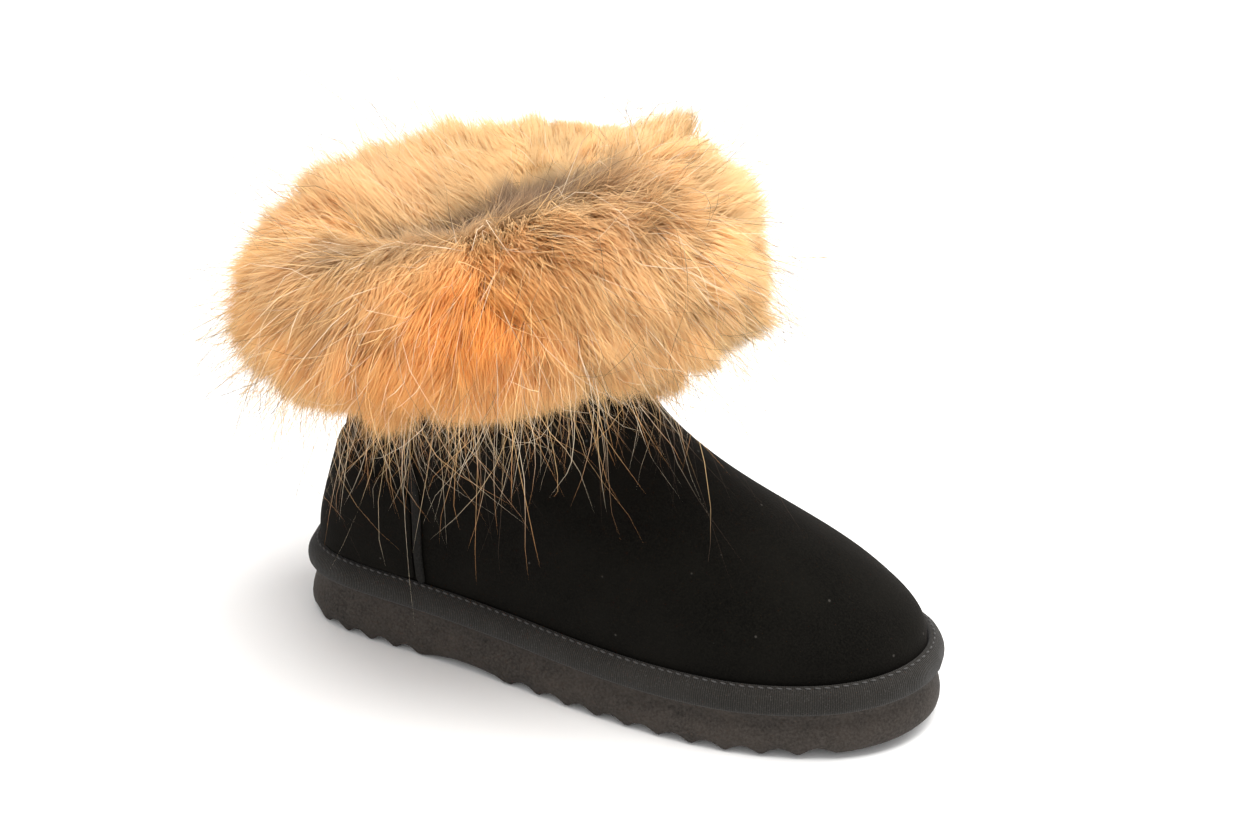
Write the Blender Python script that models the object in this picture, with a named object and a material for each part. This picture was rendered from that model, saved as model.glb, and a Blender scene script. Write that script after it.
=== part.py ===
"""Sheepskin ankle boot for the right foot, with a deep fur cuff at the collar.

Metres, +Z up, +X towards the toe, +Y towards the inner (big toe) side of the foot.
The origin lies on the floor under the middle of the heel seat.
The boot stands on its sole, empty, with nothing in it.
"""

import bisect
import functools
import math

import bmesh
import bpy
import numpy as np
from mathutils import Vector

# Driving sizes of the sole and the last
SOLE_LENGTH = 0.275
BALL_WIDTH = 0.102
HEEL_SETBACK = 0.040
TOE_SHIFT = 0.002
HEEL_THICKNESS = 0.022
FOREPART_THICKNESS = 0.018
TOE_SPRING = 0.005
SPRING_START = 0.74
COLLAR_RISE = 0.140

# The wall of the upper, and what is fitted against it
GAP = 0.0003
WALL = 0.0030
FEATHER_INSET = 0.0050
INSOLE_THICKNESS = 0.0050
RAND_HEIGHT = 0.0108
RAND_BULGE = 0.0018
RAND_PROFILE = (
    # inset as a share of the feather inset, bulge as a share of the rand's, share of its height
    (1.00, 0.00, 0.00),
    (0.00, 0.00, 0.00),
    (0.00, 0.55, 0.06),
    (0.00, 1.00, 0.26),
    (0.00, 1.00, 0.52),
    (0.00, 0.45, 0.78),
    (0.22, 0.00, 0.95),
    (0.62, 0.00, 1.00),
    (1.00, 0.00, 0.97),
)
INSOLE_BEVEL = 0.0020
COUNTER_THICKNESS = 0.0014
SEAM_WIDTH = 0.0042
SEAM_THICKNESS = 0.0017

# The tread under the sole: notches across it under the heel and the forepart
HEEL_NOTCHES = 5
HEEL_NOTCH_PITCH = 0.0124
HEEL_NOTCHES_FROM = -0.0343
BALL_NOTCHES = 10
BALL_NOTCH_PITCH = 0.0138
BALL_NOTCHES_FROM = 0.0722
NOTCH_DEPTH = 0.0028
LAND = 0.0026
ARCH_LIFT = 0.0030
ARCH_SLOPE = 0.010
PAD_WIDTH = 0.028
EDGE_FLARE = 0.0010
EDGE_WAIST = 0.0012
EDGE_ROUND = 0.0015
EDGE_PROFILE = (
    # shares of the flare, the waist and the rounding below, share of the sole's thickness
    (1.0, 0.0, 1.0, 0.00),
    (1.0, 0.0, 0.0, 0.09),
    (0.4, 0.0, 0.0, 0.35),
    (0.0, 1.0, 0.0, 0.72),
    (0.0, 1.0, 0.0, 0.90),
    (0.0, 0.4, 0.0, 1.00),
)

# The fur cuff, measured from the outside of the shaft at the collar
FUR_REACH = 0.050
FUR_DROP = 0.046
FUR_CROWN = 0.040
FUR_OVERHANG = 0.024
LOCK_LENGTH = 0.010
LOCK_DROOP = 0.006
LOCKS_ROUND = 26
LOCK_ROWS = 8

# Fineness of the meshes
ANGLES = 60
LEVELS = 17
ANGLE_STEP = 0.02
LEVEL_STEP = 0.01
OVERLAY_GAP = 0.0006
SEAM_FACES = (2, 14)
COUNTER_FACES = (20, 7)

# Half widths of the sole as shares of the ball width, at shares of its length from the heel
OUTLINE = (
    # along, outer, inner
    (0.0146, 0.206, 0.206),
    (0.051, 0.320, 0.305),
    (0.130, 0.388, 0.367),
    (0.255, 0.414, 0.358),
    (0.400, 0.452, 0.358),
    (0.530, 0.500, 0.390),
    (0.640, 0.522, 0.450),
    (0.745, 0.512, 0.484),
    (0.845, 0.450, 0.436),
    (0.925, 0.346, 0.340),
    (0.975, 0.212, 0.206),
)
HEEL_ROUNDNESS = 0.90
TOE_ROUNDNESS = 0.68

# Rings of the upper, from the edge on the sole to the collar. heel_in and toe_in are how far the
# ring stands in from the feather line, as shares of the sole length. rear and front are its height
# over the sole, as shares of the collar's rise. foot scales the outline's width, and shaft says how
# far the ring has turned into the round of the shaft, whose half width is a share of the ball width
# and whose front is narrower by the share egg.
SECTIONS = (
    # name, heel_in, toe_in, rear, front, foot, shaft, half, egg
    ("edge", 0.000, 0.000, 0.002, 0.002, 1.00, 0.00, 0.38, 1.00),
    ("rand", 0.002, 0.000, 0.080, 0.080, 1.00, 0.00, 0.38, 1.00),
    ("wall", 0.006, 0.007, 0.165, 0.136, 1.02, 0.00, 0.38, 1.00),
    ("toe", 0.017, 0.036, 0.250, 0.188, 1.01, 0.04, 0.38, 0.96),
    ("vamp_1", 0.029, 0.081, 0.335, 0.254, 0.97, 0.12, 0.37, 0.92),
    ("vamp_2", 0.040, 0.141, 0.415, 0.314, 0.93, 0.26, 0.37, 0.88),
    ("vamp_3", 0.048, 0.213, 0.490, 0.378, 0.88, 0.42, 0.37, 0.84),
    ("vamp_4", 0.055, 0.289, 0.560, 0.452, 0.82, 0.58, 0.37, 0.80),
    ("instep_1", 0.060, 0.360, 0.630, 0.538, 0.76, 0.74, 0.38, 0.80),
    ("instep_2", 0.064, 0.420, 0.700, 0.634, 0.70, 0.88, 0.39, 0.84),
    ("ankle", 0.068, 0.452, 0.765, 0.766, 0.66, 0.96, 0.395, 0.92),
    ("shaft", 0.073, 0.466, 0.825, 0.918, 0.64, 1.00, 0.40, 0.97),
    ("collar", 0.077, 0.472, 0.880, 1.070, 0.64, 1.00, 0.40, 1.00),
)
HEEL_IN, TOE_IN, REAR, FRONT, FOOT, SHAFT, HALF, EGG = range(8)

# Where the panels lie on the upper: turns round it from the toe, and levels from edge to collar
RAND_LEVEL = 1 / (len(SECTIONS) - 1)
SEAM_FOOT_TURN = 0.334
SEAM_TOP_TURN = 0.350
SEAM_HEAD_LEVEL = 0.80
COUNTER_RISE = 0.43

# The fur's section at one place round the collar: reach is a share of the cuff's reach there, and
# up is a share of its crown above the collar, or of its drop below it where it is negative
FUR_SECTION = (
    # reach, up
    (0.10, -0.86),
    (0.42, -1.00),
    (0.78, -0.90),
    (0.97, -0.52),
    (1.00, -0.02),
    (0.92, 0.48),
    (0.70, 0.84),
    (0.38, 1.00),
    (0.06, 0.96),
)

# The cuff round the collar, at turns from the toe by way of the outer side: shares of the three
# sizes above. It is deepest at the back and fullest over the instep and the inner side.
FUR_ROUND = (
    # turn, reach, drop, crown
    (0.000, 1.04, 0.70, 0.94),
    (0.125, 0.98, 0.74, 0.84),
    (0.250, 0.90, 0.80, 0.76),
    (0.375, 0.92, 0.92, 0.70),
    (0.500, 0.96, 1.00, 0.70),
    (0.625, 0.94, 0.94, 0.88),
    (0.750, 0.88, 0.80, 1.04),
    (0.875, 0.97, 0.74, 1.06),
)
REACH, DROP, CROWN = range(3)

# The throat of the cuff, from the crown down to the collar's edge
FUR_THROAT = (
    # inwards as a share of the overhang, height as a share of the crown
    (0.72, 0.74),
    (1.00, 0.46),
    (0.82, 0.20),
)
FUR_ROOTS = (0.80, 0.50, 0.25)


def smooth(keys, rows, period=None):
    """A function that reads a smooth curve through the rows of values at the keys."""
    keys = [float(k) for k in keys]
    rows = [tuple(map(float, row)) for row in rows]
    if period is not None:
        keys = [k - period for k in keys[-2:]] + keys + [k + period for k in keys[:2]]
        rows = rows[-2:] + rows + rows[:2]
    slopes = np.gradient(np.array(rows), np.array(keys), axis=0).tolist()

    def read(at):
        at = min(max(at, keys[0]), keys[-1])
        i = min(bisect.bisect_right(keys, at) - 1, len(keys) - 2)
        step = keys[i + 1] - keys[i]
        t = (at - keys[i]) / step
        ends = (2 * t**3 - 3 * t**2 + 1, 3 * t**2 - 2 * t**3)
        pulls = (step * (t**3 - 2 * t**2 + t), step * (t**3 - t**2))
        return [
            ends[0] * low + ends[1] * high + pulls[0] * leaving + pulls[1] * arriving
            for low, high, leaving, arriving in zip(rows[i], rows[i + 1], slopes[i], slopes[i + 1])
        ]

    return read


def ease(low, high, at):
    """0 below low, 1 above high, and a smooth step between."""
    t = min(1.0, max(0.0, (at - low) / (high - low)))
    return t * t * (3 - 2 * t)


def width_keys():
    """Angle and fullness of the outline: the half width over the sine of the angle."""
    outer = [(math.acos(2 * s - 1), o / (2 * math.sqrt(s * (1 - s)))) for s, o, _ in OUTLINE]
    inner = [
        (2 * math.pi - math.acos(2 * s - 1), i / (2 * math.sqrt(s * (1 - s))))
        for s, _, i in OUTLINE
    ]
    rows = [(0.0, TOE_ROUNDNESS)] + sorted(outer) + [(math.pi, HEEL_ROUNDNESS)] + sorted(inner)
    return [row[0] for row in rows], [row[1:] for row in rows]


fullness = smooth(*width_keys(), period=2 * math.pi)
section = smooth(np.linspace(0, 1, len(SECTIONS)), [row[1:] for row in SECTIONS])
fur_round = smooth([row[0] for row in FUR_ROUND], [row[1:] for row in FUR_ROUND], period=1.0)


def along_of(angle):
    """Share of the length from the heel at an angle round the sole; 0 is the toe."""
    return (1 + math.cos(angle)) / 2


def outline(angle, inset=0.0):
    """A point of the sole's plan outline, moved inwards by inset."""

    def edge(a):
        s = along_of(a)
        (full,) = fullness(a % (2 * math.pi))
        x = SOLE_LENGTH * s - HEEL_SETBACK
        return x, TOE_SHIFT * s - BALL_WIDTH * full * math.sin(a)

    x, y = edge(angle)
    if inset:
        (ax, ay), (bx, by) = edge(angle - 0.01), edge(angle + 0.01)
        length = math.hypot(bx - ax, by - ay)
        x += inset * (by - ay) / length
        y -= inset * (bx - ax) / length
    return x, y


def spring(x):
    """How far the sole lifts towards the toe."""
    s = (x + HEEL_SETBACK) / SOLE_LENGTH
    return TOE_SPRING * max(0.0, (s - SPRING_START) / (1 - SPRING_START)) ** 2


def sole_top(x):
    """Height of the sole's upper face."""
    s = (x + HEEL_SETBACK) / SOLE_LENGTH
    wedge = (HEEL_THICKNESS - FOREPART_THICKNESS) * (1 - ease(0.15, 0.68, s))
    return FOREPART_THICKNESS + wedge + spring(x)


@functools.lru_cache(maxsize=None)
def upper_skin(angle, level):
    """A point on the outside of the upper."""
    row = section(level)
    heel, toe = outline(math.pi, FEATHER_INSET)[0], outline(0.0, FEATHER_INSET)[0]
    flat = outline(angle, FEATHER_INSET)
    share = (flat[0] - heel) / (toe - heel)
    back = heel + row[HEEL_IN] * SOLE_LENGTH
    front = toe - row[TOE_IN] * SOLE_LENGTH
    foot_y = TOE_SHIFT * share + (flat[1] - TOE_SHIFT * share) * row[FOOT]
    round_share = along_of(angle)
    egg = 1 - (1 - row[EGG]) * round_share**2
    shaft_y = TOE_SHIFT / 2 * share - BALL_WIDTH * row[HALF] * egg * math.sin(angle)
    mixed = row[SHAFT]
    along = share * (1 - mixed) + round_share * mixed
    x = back + (front - back) * along
    y = foot_y * (1 - mixed) + shaft_y * mixed
    rise = row[REAR] + (row[FRONT] - row[REAR]) * along
    return Vector((x, y, sole_top(flat[0]) + rise * COLLAR_RISE))


def upper_point(angle, level, out=0.0):
    """A point off the upper's outside, by out along the skin's own normal."""
    here = upper_skin(angle, level)
    if not out:
        return here
    round_step = upper_skin(angle + ANGLE_STEP, level) - upper_skin(angle - ANGLE_STEP, level)
    low, high = max(0.0, level - LEVEL_STEP), min(1.0, level + LEVEL_STEP)
    up_step = upper_skin(angle, high) - upper_skin(angle, low)
    normal = up_step.cross(round_step).normalized()
    if level < RAND_LEVEL:
        normal.z = 0.0
        normal.normalize()
    return here + normal * out


def material(name, colour, roughness):
    """A plain Principled material."""
    made = bpy.data.materials.new(name)
    made.use_nodes = True
    shader = made.node_tree.nodes["Principled BSDF"]
    shader.inputs["Base Color"].default_value = (*colour, 1.0)
    shader.inputs["Roughness"].default_value = roughness
    shader.inputs["Metallic"].default_value = 0.0
    return made


def finish(bm, name, made_of, smooth_angle=0.7):
    """Writes a bmesh to a named object, shaded smooth over its soft edges."""
    bmesh.ops.recalc_face_normals(bm, faces=bm.faces)
    mesh = bpy.data.meshes.new(name)
    bm.to_mesh(mesh)
    bm.free()
    mesh.materials.append(made_of)
    mesh.shade_smooth()
    mesh.set_sharp_from_angle(angle=smooth_angle)
    made = bpy.data.objects.new(name, mesh)
    bpy.context.scene.collection.objects.link(made)
    return made


def band_of_rings(bm, rings, closed=True):
    """Joins rings of points with quads; a closed band also joins the last ring to the first."""
    made = [[bm.verts.new(p) for p in ring] for ring in rings]
    count = len(made[0])
    pairs = list(zip(made, made[1:]))
    if closed:
        pairs.append((made[-1], made[0]))
    for low, high in pairs:
        for i in range(count):
            j = (i + 1) % count
            bm.faces.new((low[i], low[j], high[j], high[i]))
    return made


def cap(bm, ring):
    """Closes a ring round the sole with strips across it, so that its height follows its length."""
    count = len(ring)
    half = count // 2
    bm.faces.new((ring[0], ring[1], ring[-1]))
    for i in range(1, half - 1):
        bm.faces.new((ring[i], ring[i + 1], ring[count - i - 1], ring[count - i]))
    bm.faces.new((ring[half - 1], ring[half], ring[half + 1]))


def turns(count):
    """Evenly spaced angles, once round."""
    return [2 * math.pi * i / count for i in range(count)]


def make_upper(suede):
    """One hollow wall from the sole's edge to the collar, open above and below."""
    levels = [i / (LEVELS - 1) for i in range(LEVELS)]
    outer = [[upper_point(a, v) for a in turns(ANGLES)] for v in levels]
    inner = [[upper_point(a, v, -WALL) for a in turns(ANGLES)] for v in reversed(levels)]
    bm = bmesh.new()
    band_of_rings(bm, outer + inner)
    return finish(bm, "upper", suede)


def patch(name, made_of, low_out, high_out, place, rounds, rises):
    """A sheet between two distances off the upper. place(a, b) gives its angle and level."""
    bm = bmesh.new()
    faces = []
    for out in (low_out, high_out):
        rows = []
        for j in range(rises + 1):
            row = []
            for i in range(rounds + 1):
                angle, level = place(i / rounds, j / rises)
                row.append(bm.verts.new(upper_point(angle, level, out)))
            rows.append(row)
        faces.append(rows)
    low, high = faces
    for rows in faces:
        for j in range(rises):
            for i in range(rounds):
                bm.faces.new(
                    (rows[j][i], rows[j][i + 1], rows[j + 1][i + 1], rows[j + 1][i])
                )
    rim = [(0, i) for i in range(rounds)]
    rim += [(j, rounds) for j in range(rises)]
    rim += [(rises, i) for i in range(rounds, 0, -1)]
    rim += [(j, 0) for j in range(rises, 0, -1)]
    for k, (j, i) in enumerate(rim):
        jj, ii = rim[(k + 1) % len(rim)]
        bm.faces.new((low[j][i], low[jj][ii], high[jj][ii], high[j][i]))
    return finish(bm, name, made_of)


def level_over_rand(angle):
    """The level just clear of the rand's top edge."""
    top = RAND_HEIGHT + 2 * GAP
    levels = np.linspace(0.0, 0.3, 61)
    for level in levels:
        here = upper_skin(angle, level)
        flat = outline(angle, FEATHER_INSET)
        if here.z - sole_top(flat[0]) >= top:
            return float(level)
    return float(levels[-1])


def seam_angle(level, side):
    """Angle of a side seam, which leans back a little as it rises. side is 1 outer, -1 inner."""
    turn = SEAM_FOOT_TURN + (SEAM_TOP_TURN - SEAM_FOOT_TURN) * level
    return side * turn * 2 * math.pi


def angle_width(angle, level, width):
    """The angle that a width spans on the upper at a place."""
    before, after = upper_skin(angle - ANGLE_STEP, level), upper_skin(angle + ANGLE_STEP, level)
    return width * 2 * ANGLE_STEP / (after - before).length


def make_seam(name, made_of, side):
    """A raised strip over the joint of the front and the back panel."""
    foot = level_over_rand(seam_angle(RAND_LEVEL, side))
    head = seam_angle(SEAM_HEAD_LEVEL, side)
    top = level_below_collar(head, fur_size(head)[DROP])

    def place(across, up):
        level = foot + (top - foot) * up
        centre = seam_angle(level, side)
        return centre + (across - 0.5) * angle_width(centre, level, SEAM_WIDTH), level

    return patch(name, made_of, OVERLAY_GAP, OVERLAY_GAP + SEAM_THICKNESS, place, *SEAM_FACES)


def make_counter(suede):
    """The heel counter, a second layer round the back between the two side seams."""

    def place(across, up):
        edge = seam_angle(RAND_LEVEL, 1)
        foot_angle = edge + (2 * math.pi - 2 * edge) * across
        foot = level_over_rand(foot_angle)
        crown = 1 - (2 * across - 1) ** 2
        level = foot + (COUNTER_RISE * (0.86 + 0.14 * crown) - foot) * up
        start, end = seam_angle(level, 1), 2 * math.pi + seam_angle(level, -1)
        start += angle_width(start, level, SEAM_WIDTH / 2 + GAP)
        end -= angle_width(end, level, SEAM_WIDTH / 2 + GAP)
        return start + (end - start) * across, level

    out = OVERLAY_GAP + COUNTER_THICKNESS
    return patch("heel_counter", suede, OVERLAY_GAP, out, place, *COUNTER_FACES)


def make_rand(cloth):
    """The bound strip round the foot of the upper, rounded outside, standing on the sole."""
    rings = []
    for inset, bulge, share in RAND_PROFILE:
        ring = []
        for angle in turns(ANGLES):
            x, y = outline(angle, inset * (FEATHER_INSET - GAP) - bulge * RAND_BULGE)
            base = sole_top(outline(angle)[0]) + GAP
            ring.append(Vector((x, y, base + share * RAND_HEIGHT)))
        rings.append(ring)
    bm = bmesh.new()
    band_of_rings(bm, rings)
    return finish(bm, "rand", cloth)


def make_insole(fleece):
    """The footbed, a slab inside the wall of the upper."""
    inset = FEATHER_INSET + WALL + GAP
    bm = bmesh.new()
    rings = []
    shoulder = INSOLE_THICKNESS - INSOLE_BEVEL * 0.75
    for extra, lift in ((0.0, GAP), (0.0, shoulder), (INSOLE_BEVEL, INSOLE_THICKNESS)):
        ring = []
        for angle in turns(ANGLES):
            x, y = outline(angle, inset + extra)
            ring.append(Vector((x, y, sole_top(outline(angle, FEATHER_INSET)[0]) + lift)))
        rings.append(ring)
    made = band_of_rings(bm, rings, closed=False)
    cap(bm, made[0])
    cap(bm, made[-1])
    return finish(bm, "insole", fleece)


def notch_bar(bm, start, end, depth, slope, low_y, high_y):
    """A bar across the sole that cuts a notch: upright behind, sloping in front."""
    lift = spring((start + end) / 2)
    corners = (
        (start, 0.0),
        (start + slope * 0.45, depth),
        (end - slope, depth),
        (end, 0.0),
        (end, -NOTCH_DEPTH),
        (start, -NOTCH_DEPTH),
    )
    rings = [[bm.verts.new((x, y, z + lift)) for x, z in corners] for y in (low_y, high_y)]
    for i in range(len(corners)):
        j = (i + 1) % len(corners)
        bm.faces.new((rings[0][i], rings[0][j], rings[1][j], rings[1][i]))
    bm.faces.new(rings[0])
    bm.faces.new(rings[1])


def tooth_cutter():
    """Notches across the sole, left whole in a middle pad under the heel and one under the ball."""
    bm = bmesh.new()
    heel_pad, ball_pad = range(1, HEEL_NOTCHES - 1), range(2, BALL_NOTCHES - 4)
    for first, count, pitch, pad in (
        (HEEL_NOTCHES_FROM, HEEL_NOTCHES, HEEL_NOTCH_PITCH, heel_pad),
        (BALL_NOTCHES_FROM, BALL_NOTCHES, BALL_NOTCH_PITCH, ball_pad),
    ):
        for k in range(count):
            start = first + pitch * k
            end = start + pitch - LAND
            sides = [(-BALL_WIDTH, BALL_WIDTH)]
            if k in pad:
                sides = [(-BALL_WIDTH, -PAD_WIDTH / 2), (PAD_WIDTH / 2, BALL_WIDTH)]
            for low_y, high_y in sides:
                notch_bar(bm, start, end, NOTCH_DEPTH, (end - start) * 0.4, low_y, high_y)
    arch_start = HEEL_NOTCHES_FROM + HEEL_NOTCH_PITCH * HEEL_NOTCHES
    arch_end = BALL_NOTCHES_FROM - LAND * 2
    notch_bar(bm, arch_start, arch_end, ARCH_LIFT, ARCH_SLOPE, -BALL_WIDTH, BALL_WIDTH)
    return bm


def make_outsole(foam):
    """A thick foam sole with a waisted side, toe spring, arch and a notched tread."""
    rings = []
    for flare, waist, rounding, share in EDGE_PROFILE:
        inset = waist * EDGE_WAIST + rounding * EDGE_ROUND - flare * EDGE_FLARE
        ring = []
        for angle in turns(ANGLES):
            x, y = outline(angle, inset)
            at = outline(angle)[0]
            low = spring(at)
            ring.append(Vector((x, y, low + (sole_top(at) - low) * share)))
        rings.append(ring)
    bm = bmesh.new()
    made = band_of_rings(bm, rings, closed=False)
    cap(bm, made[0])
    cap(bm, made[-1])
    sole = finish(bm, "outsole", foam)
    cutter = finish(tooth_cutter(), "tooth_cutter", foam)
    cutter.hide_render = True
    cutter.display_type = "WIRE"
    cut = sole.modifiers.new("tread", "BOOLEAN")
    cut.operation = "DIFFERENCE"
    cut.solver = "EXACT"
    cut.object = cutter
    return sole


def away_from_shaft(angle):
    """The level direction straight out of the shaft."""
    base = upper_skin(angle, 1.0)
    middle = upper_skin(0.0, 1.0).lerp(upper_skin(math.pi, 1.0), 0.5)
    return Vector((base.x - middle.x, base.y - middle.y, 0.0)).normalized()


@functools.lru_cache(maxsize=None)
def level_below_collar(angle, drop):
    """The level where the upper lies that far below its collar."""
    low, high = 0.2, 1.0
    target = upper_skin(angle, 1.0).z - drop
    for _ in range(24):
        middle = (low + high) / 2
        if upper_skin(angle, middle).z < target:
            low = middle
        else:
            high = middle
    return high


def fur_size(angle):
    """Reach, drop and crown of the cuff at an angle, in metres."""
    shares = fur_round(angle / (2 * math.pi) % 1.0)
    return [share * size for share, size in zip(shares, (FUR_REACH, FUR_DROP, FUR_CROWN))]


def fur_surface(angle, reach, up):
    """A point of the cuff's outside: a share outwards from the shaft, a share over the collar."""
    sizes = fur_size(angle)
    level = level_below_collar(angle, max(0.0, -up) * sizes[DROP])
    lift = max(0.0, up) * sizes[CROWN]
    return (
        upper_skin(angle, level)
        + away_from_shaft(angle) * reach * sizes[REACH]
        + Vector((0, 0, lift))
    )


def collar_place(angle, out, lift):
    """A point over the collar's edge, out from the shaft's skin and lifted above it."""
    return upper_skin(angle, 1.0) + away_from_shaft(angle) * out + Vector((0, 0, lift))


def make_cuff(fur):
    """The fur ring: a rolled section round the collar with rows of pointed locks raised on it."""
    count = LOCKS_ROUND * 3
    bm = bmesh.new()
    read = smooth(np.linspace(0, 1, len(FUR_SECTION)), FUR_SECTION)
    curve = [read(k / (2 * LOCK_ROWS)) for k in range(2 * LOCK_ROWS + 1)]
    rings = []
    for k, (reach, up) in enumerate(curve):
        after, before = curve[min(k + 1, len(curve) - 1)], curve[max(k - 1, 0)]
        outward = Vector(
            ((after[1] - before[1]) * FUR_CROWN, (before[0] - after[0]) * FUR_REACH)
        ).normalized()
        ring = []
        for i, angle in enumerate(turns(count)):
            away = away_from_shaft(angle)
            row = k // 2
            tip = k % 2 == 1 and k > 2 and (i + row) % 3 == 0
            raised = LOCK_LENGTH if tip else 0.0
            droop = LOCK_DROOP if tip else 0.0
            point = fur_surface(angle, reach, up)
            point += away * outward[0] * raised + Vector((0, 0, outward[1] * raised))
            point.z -= droop * max(0.0, outward[0])
            ring.append(point)
        rings.append(ring)
    for inwards, height in FUR_THROAT:
        rings.append(
            [
                collar_place(a, -inwards * FUR_OVERHANG, height * fur_size(a)[CROWN])
                for a in turns(count)
            ]
        )
    for out in (-WALL - 2 * GAP, 2 * GAP):
        rings.append([collar_place(a, out, 2 * GAP) for a in turns(count)])
    for share in reversed(FUR_ROOTS):
        ring = []
        for angle in turns(count):
            level = level_below_collar(angle, share * fur_size(angle)[DROP])
            ring.append(upper_point(angle, level, 4 * GAP))
        rings.append(ring)
    band_of_rings(bm, rings)
    return finish(bm, "fur_cuff", fur, smooth_angle=0.5)


def main():
    for thing in list(bpy.data.objects):
        bpy.data.objects.remove(thing)
    suede = material("black_suede", (0.012, 0.011, 0.011), 0.95)
    seam_suede = material("seam_suede", (0.016, 0.015, 0.015), 0.90)
    cloth = material("rand_cloth", (0.030, 0.028, 0.028), 0.85)
    foam = material("sole_foam", (0.040, 0.033, 0.030), 0.80)
    fleece = material("fleece", (0.62, 0.42, 0.24), 0.95)
    fur = material("fur", (0.80, 0.50, 0.24), 0.90)
    make_outsole(foam)
    make_rand(cloth)
    make_insole(fleece)
    make_upper(suede)
    make_counter(suede)
    make_seam("side_seam_outer", seam_suede, 1)
    make_seam("side_seam_inner", seam_suede, -1)
    make_cuff(fur)


main()
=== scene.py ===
# %% [markdown]
# # A suede ankle boot with a fur cuff
#
# The boot stands on a thick foam sole. Its upper is black suede, sewn to a ribbed cloth binding that
# hides the joint with the sole. A deep band of long fur hides the collar. The solids come from the
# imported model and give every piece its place. This script gives them their finish, and lays the
# hair, the stitches and the fine tread, which are too small to be solids.

# %% The frame
import math

import bpy
import numpy as np
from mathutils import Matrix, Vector
from mathutils.bvhtree import BVHTree
from mathutils.kdtree import KDTree


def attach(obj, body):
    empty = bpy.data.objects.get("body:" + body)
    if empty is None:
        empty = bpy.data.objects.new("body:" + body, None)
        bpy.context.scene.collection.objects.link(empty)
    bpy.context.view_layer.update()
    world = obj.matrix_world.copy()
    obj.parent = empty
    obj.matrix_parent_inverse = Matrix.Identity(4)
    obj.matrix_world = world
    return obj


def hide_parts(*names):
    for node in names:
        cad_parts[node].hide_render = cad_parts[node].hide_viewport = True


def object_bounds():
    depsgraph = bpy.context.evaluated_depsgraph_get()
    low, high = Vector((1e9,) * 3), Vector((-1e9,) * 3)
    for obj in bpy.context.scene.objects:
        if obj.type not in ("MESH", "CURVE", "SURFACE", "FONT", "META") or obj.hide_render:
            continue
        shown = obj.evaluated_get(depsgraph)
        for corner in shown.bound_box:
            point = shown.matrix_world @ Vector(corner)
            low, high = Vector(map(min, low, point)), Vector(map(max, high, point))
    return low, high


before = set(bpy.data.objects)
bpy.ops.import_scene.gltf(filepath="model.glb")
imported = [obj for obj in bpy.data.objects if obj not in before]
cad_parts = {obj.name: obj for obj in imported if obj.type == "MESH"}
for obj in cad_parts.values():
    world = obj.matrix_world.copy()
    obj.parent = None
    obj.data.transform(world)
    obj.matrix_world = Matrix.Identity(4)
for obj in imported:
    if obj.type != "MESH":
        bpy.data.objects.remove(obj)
cad_low, cad_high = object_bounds()
bpy.ops.object.select_all(action="DESELECT")
print("solids", [round(v * 1000) for v in cad_high - cad_low], "mm")

# %% [markdown]
# ## The camera, the floor and the light
#
# The photo looks down on the outer side of the right boot, with the toe towards the lower right. The
# camera was worked out from the two edges of the sole, which lie in flat planes. The floor is a plain
# pale plane. A bright, even sky gives the soft shadow under the arch. Two large lamps add to it: one
# high above the boot, and a weaker one from behind that lights the tips of the fur.

# %% The camera
LOOK_AT = Vector((0.09546, 0.01501, 0.09966))
CAMERA_TURN = math.radians(25.0)
CAMERA_PITCH = math.radians(26.0)
CAMERA_AWAY = 0.800
LENS = 56.9
SENSOR_WIDTH = 36.0
NEAREST_SEEN = 0.01

back = Vector(
    (
        math.sin(CAMERA_TURN) * math.cos(CAMERA_PITCH),
        -math.cos(CAMERA_TURN) * math.cos(CAMERA_PITCH),
        math.sin(CAMERA_PITCH),
    )
)
bpy.ops.object.camera_add(location=LOOK_AT + back * CAMERA_AWAY)
camera = bpy.context.active_object
camera.rotation_mode = "QUATERNION"
camera.rotation_quaternion = (-back).to_track_quat("-Z", "Y")
camera.data.lens = LENS
camera.data.sensor_width = SENSOR_WIDTH
camera.data.clip_start = NEAREST_SEEN
bpy.context.scene.camera = camera
print("camera", CAMERA_AWAY, "m away, lens", LENS, "mm")

# %% The floor and the light
FLOOR_SIZE = 12.0
FLOOR_GAP = 0.0002
PAPER_WHITE = (0.92, 0.92, 0.92, 1.0)
PAPER_ROUGHNESS = 0.9
SKY_STRENGTH = 0.95


def lamp(name, where, aim, size, power, colour):
    """A square lamp at a place, turned to a point."""
    bpy.ops.object.light_add(type="AREA", location=where)
    made = bpy.context.active_object
    made.name = name
    made.data.shape = "SQUARE"
    made.data.size = size
    made.data.energy = power
    made.data.color = colour
    made.rotation_mode = "QUATERNION"
    made.rotation_quaternion = (Vector(aim) - Vector(where)).to_track_quat("-Z", "Y")
    print(name, "lamp", power, "W")


bpy.ops.mesh.primitive_plane_add(size=FLOOR_SIZE, location=(0.0, 0.0, -FLOOR_GAP))
floor = bpy.context.active_object
floor.name = "floor"
paper = bpy.data.materials.new("white_paper")
paper.use_nodes = True
paper_shader = paper.node_tree.nodes["Principled BSDF"]
paper_shader.inputs["Base Color"].default_value = PAPER_WHITE
paper_shader.inputs["Roughness"].default_value = PAPER_ROUGHNESS
floor.data.materials.append(paper)

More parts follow.
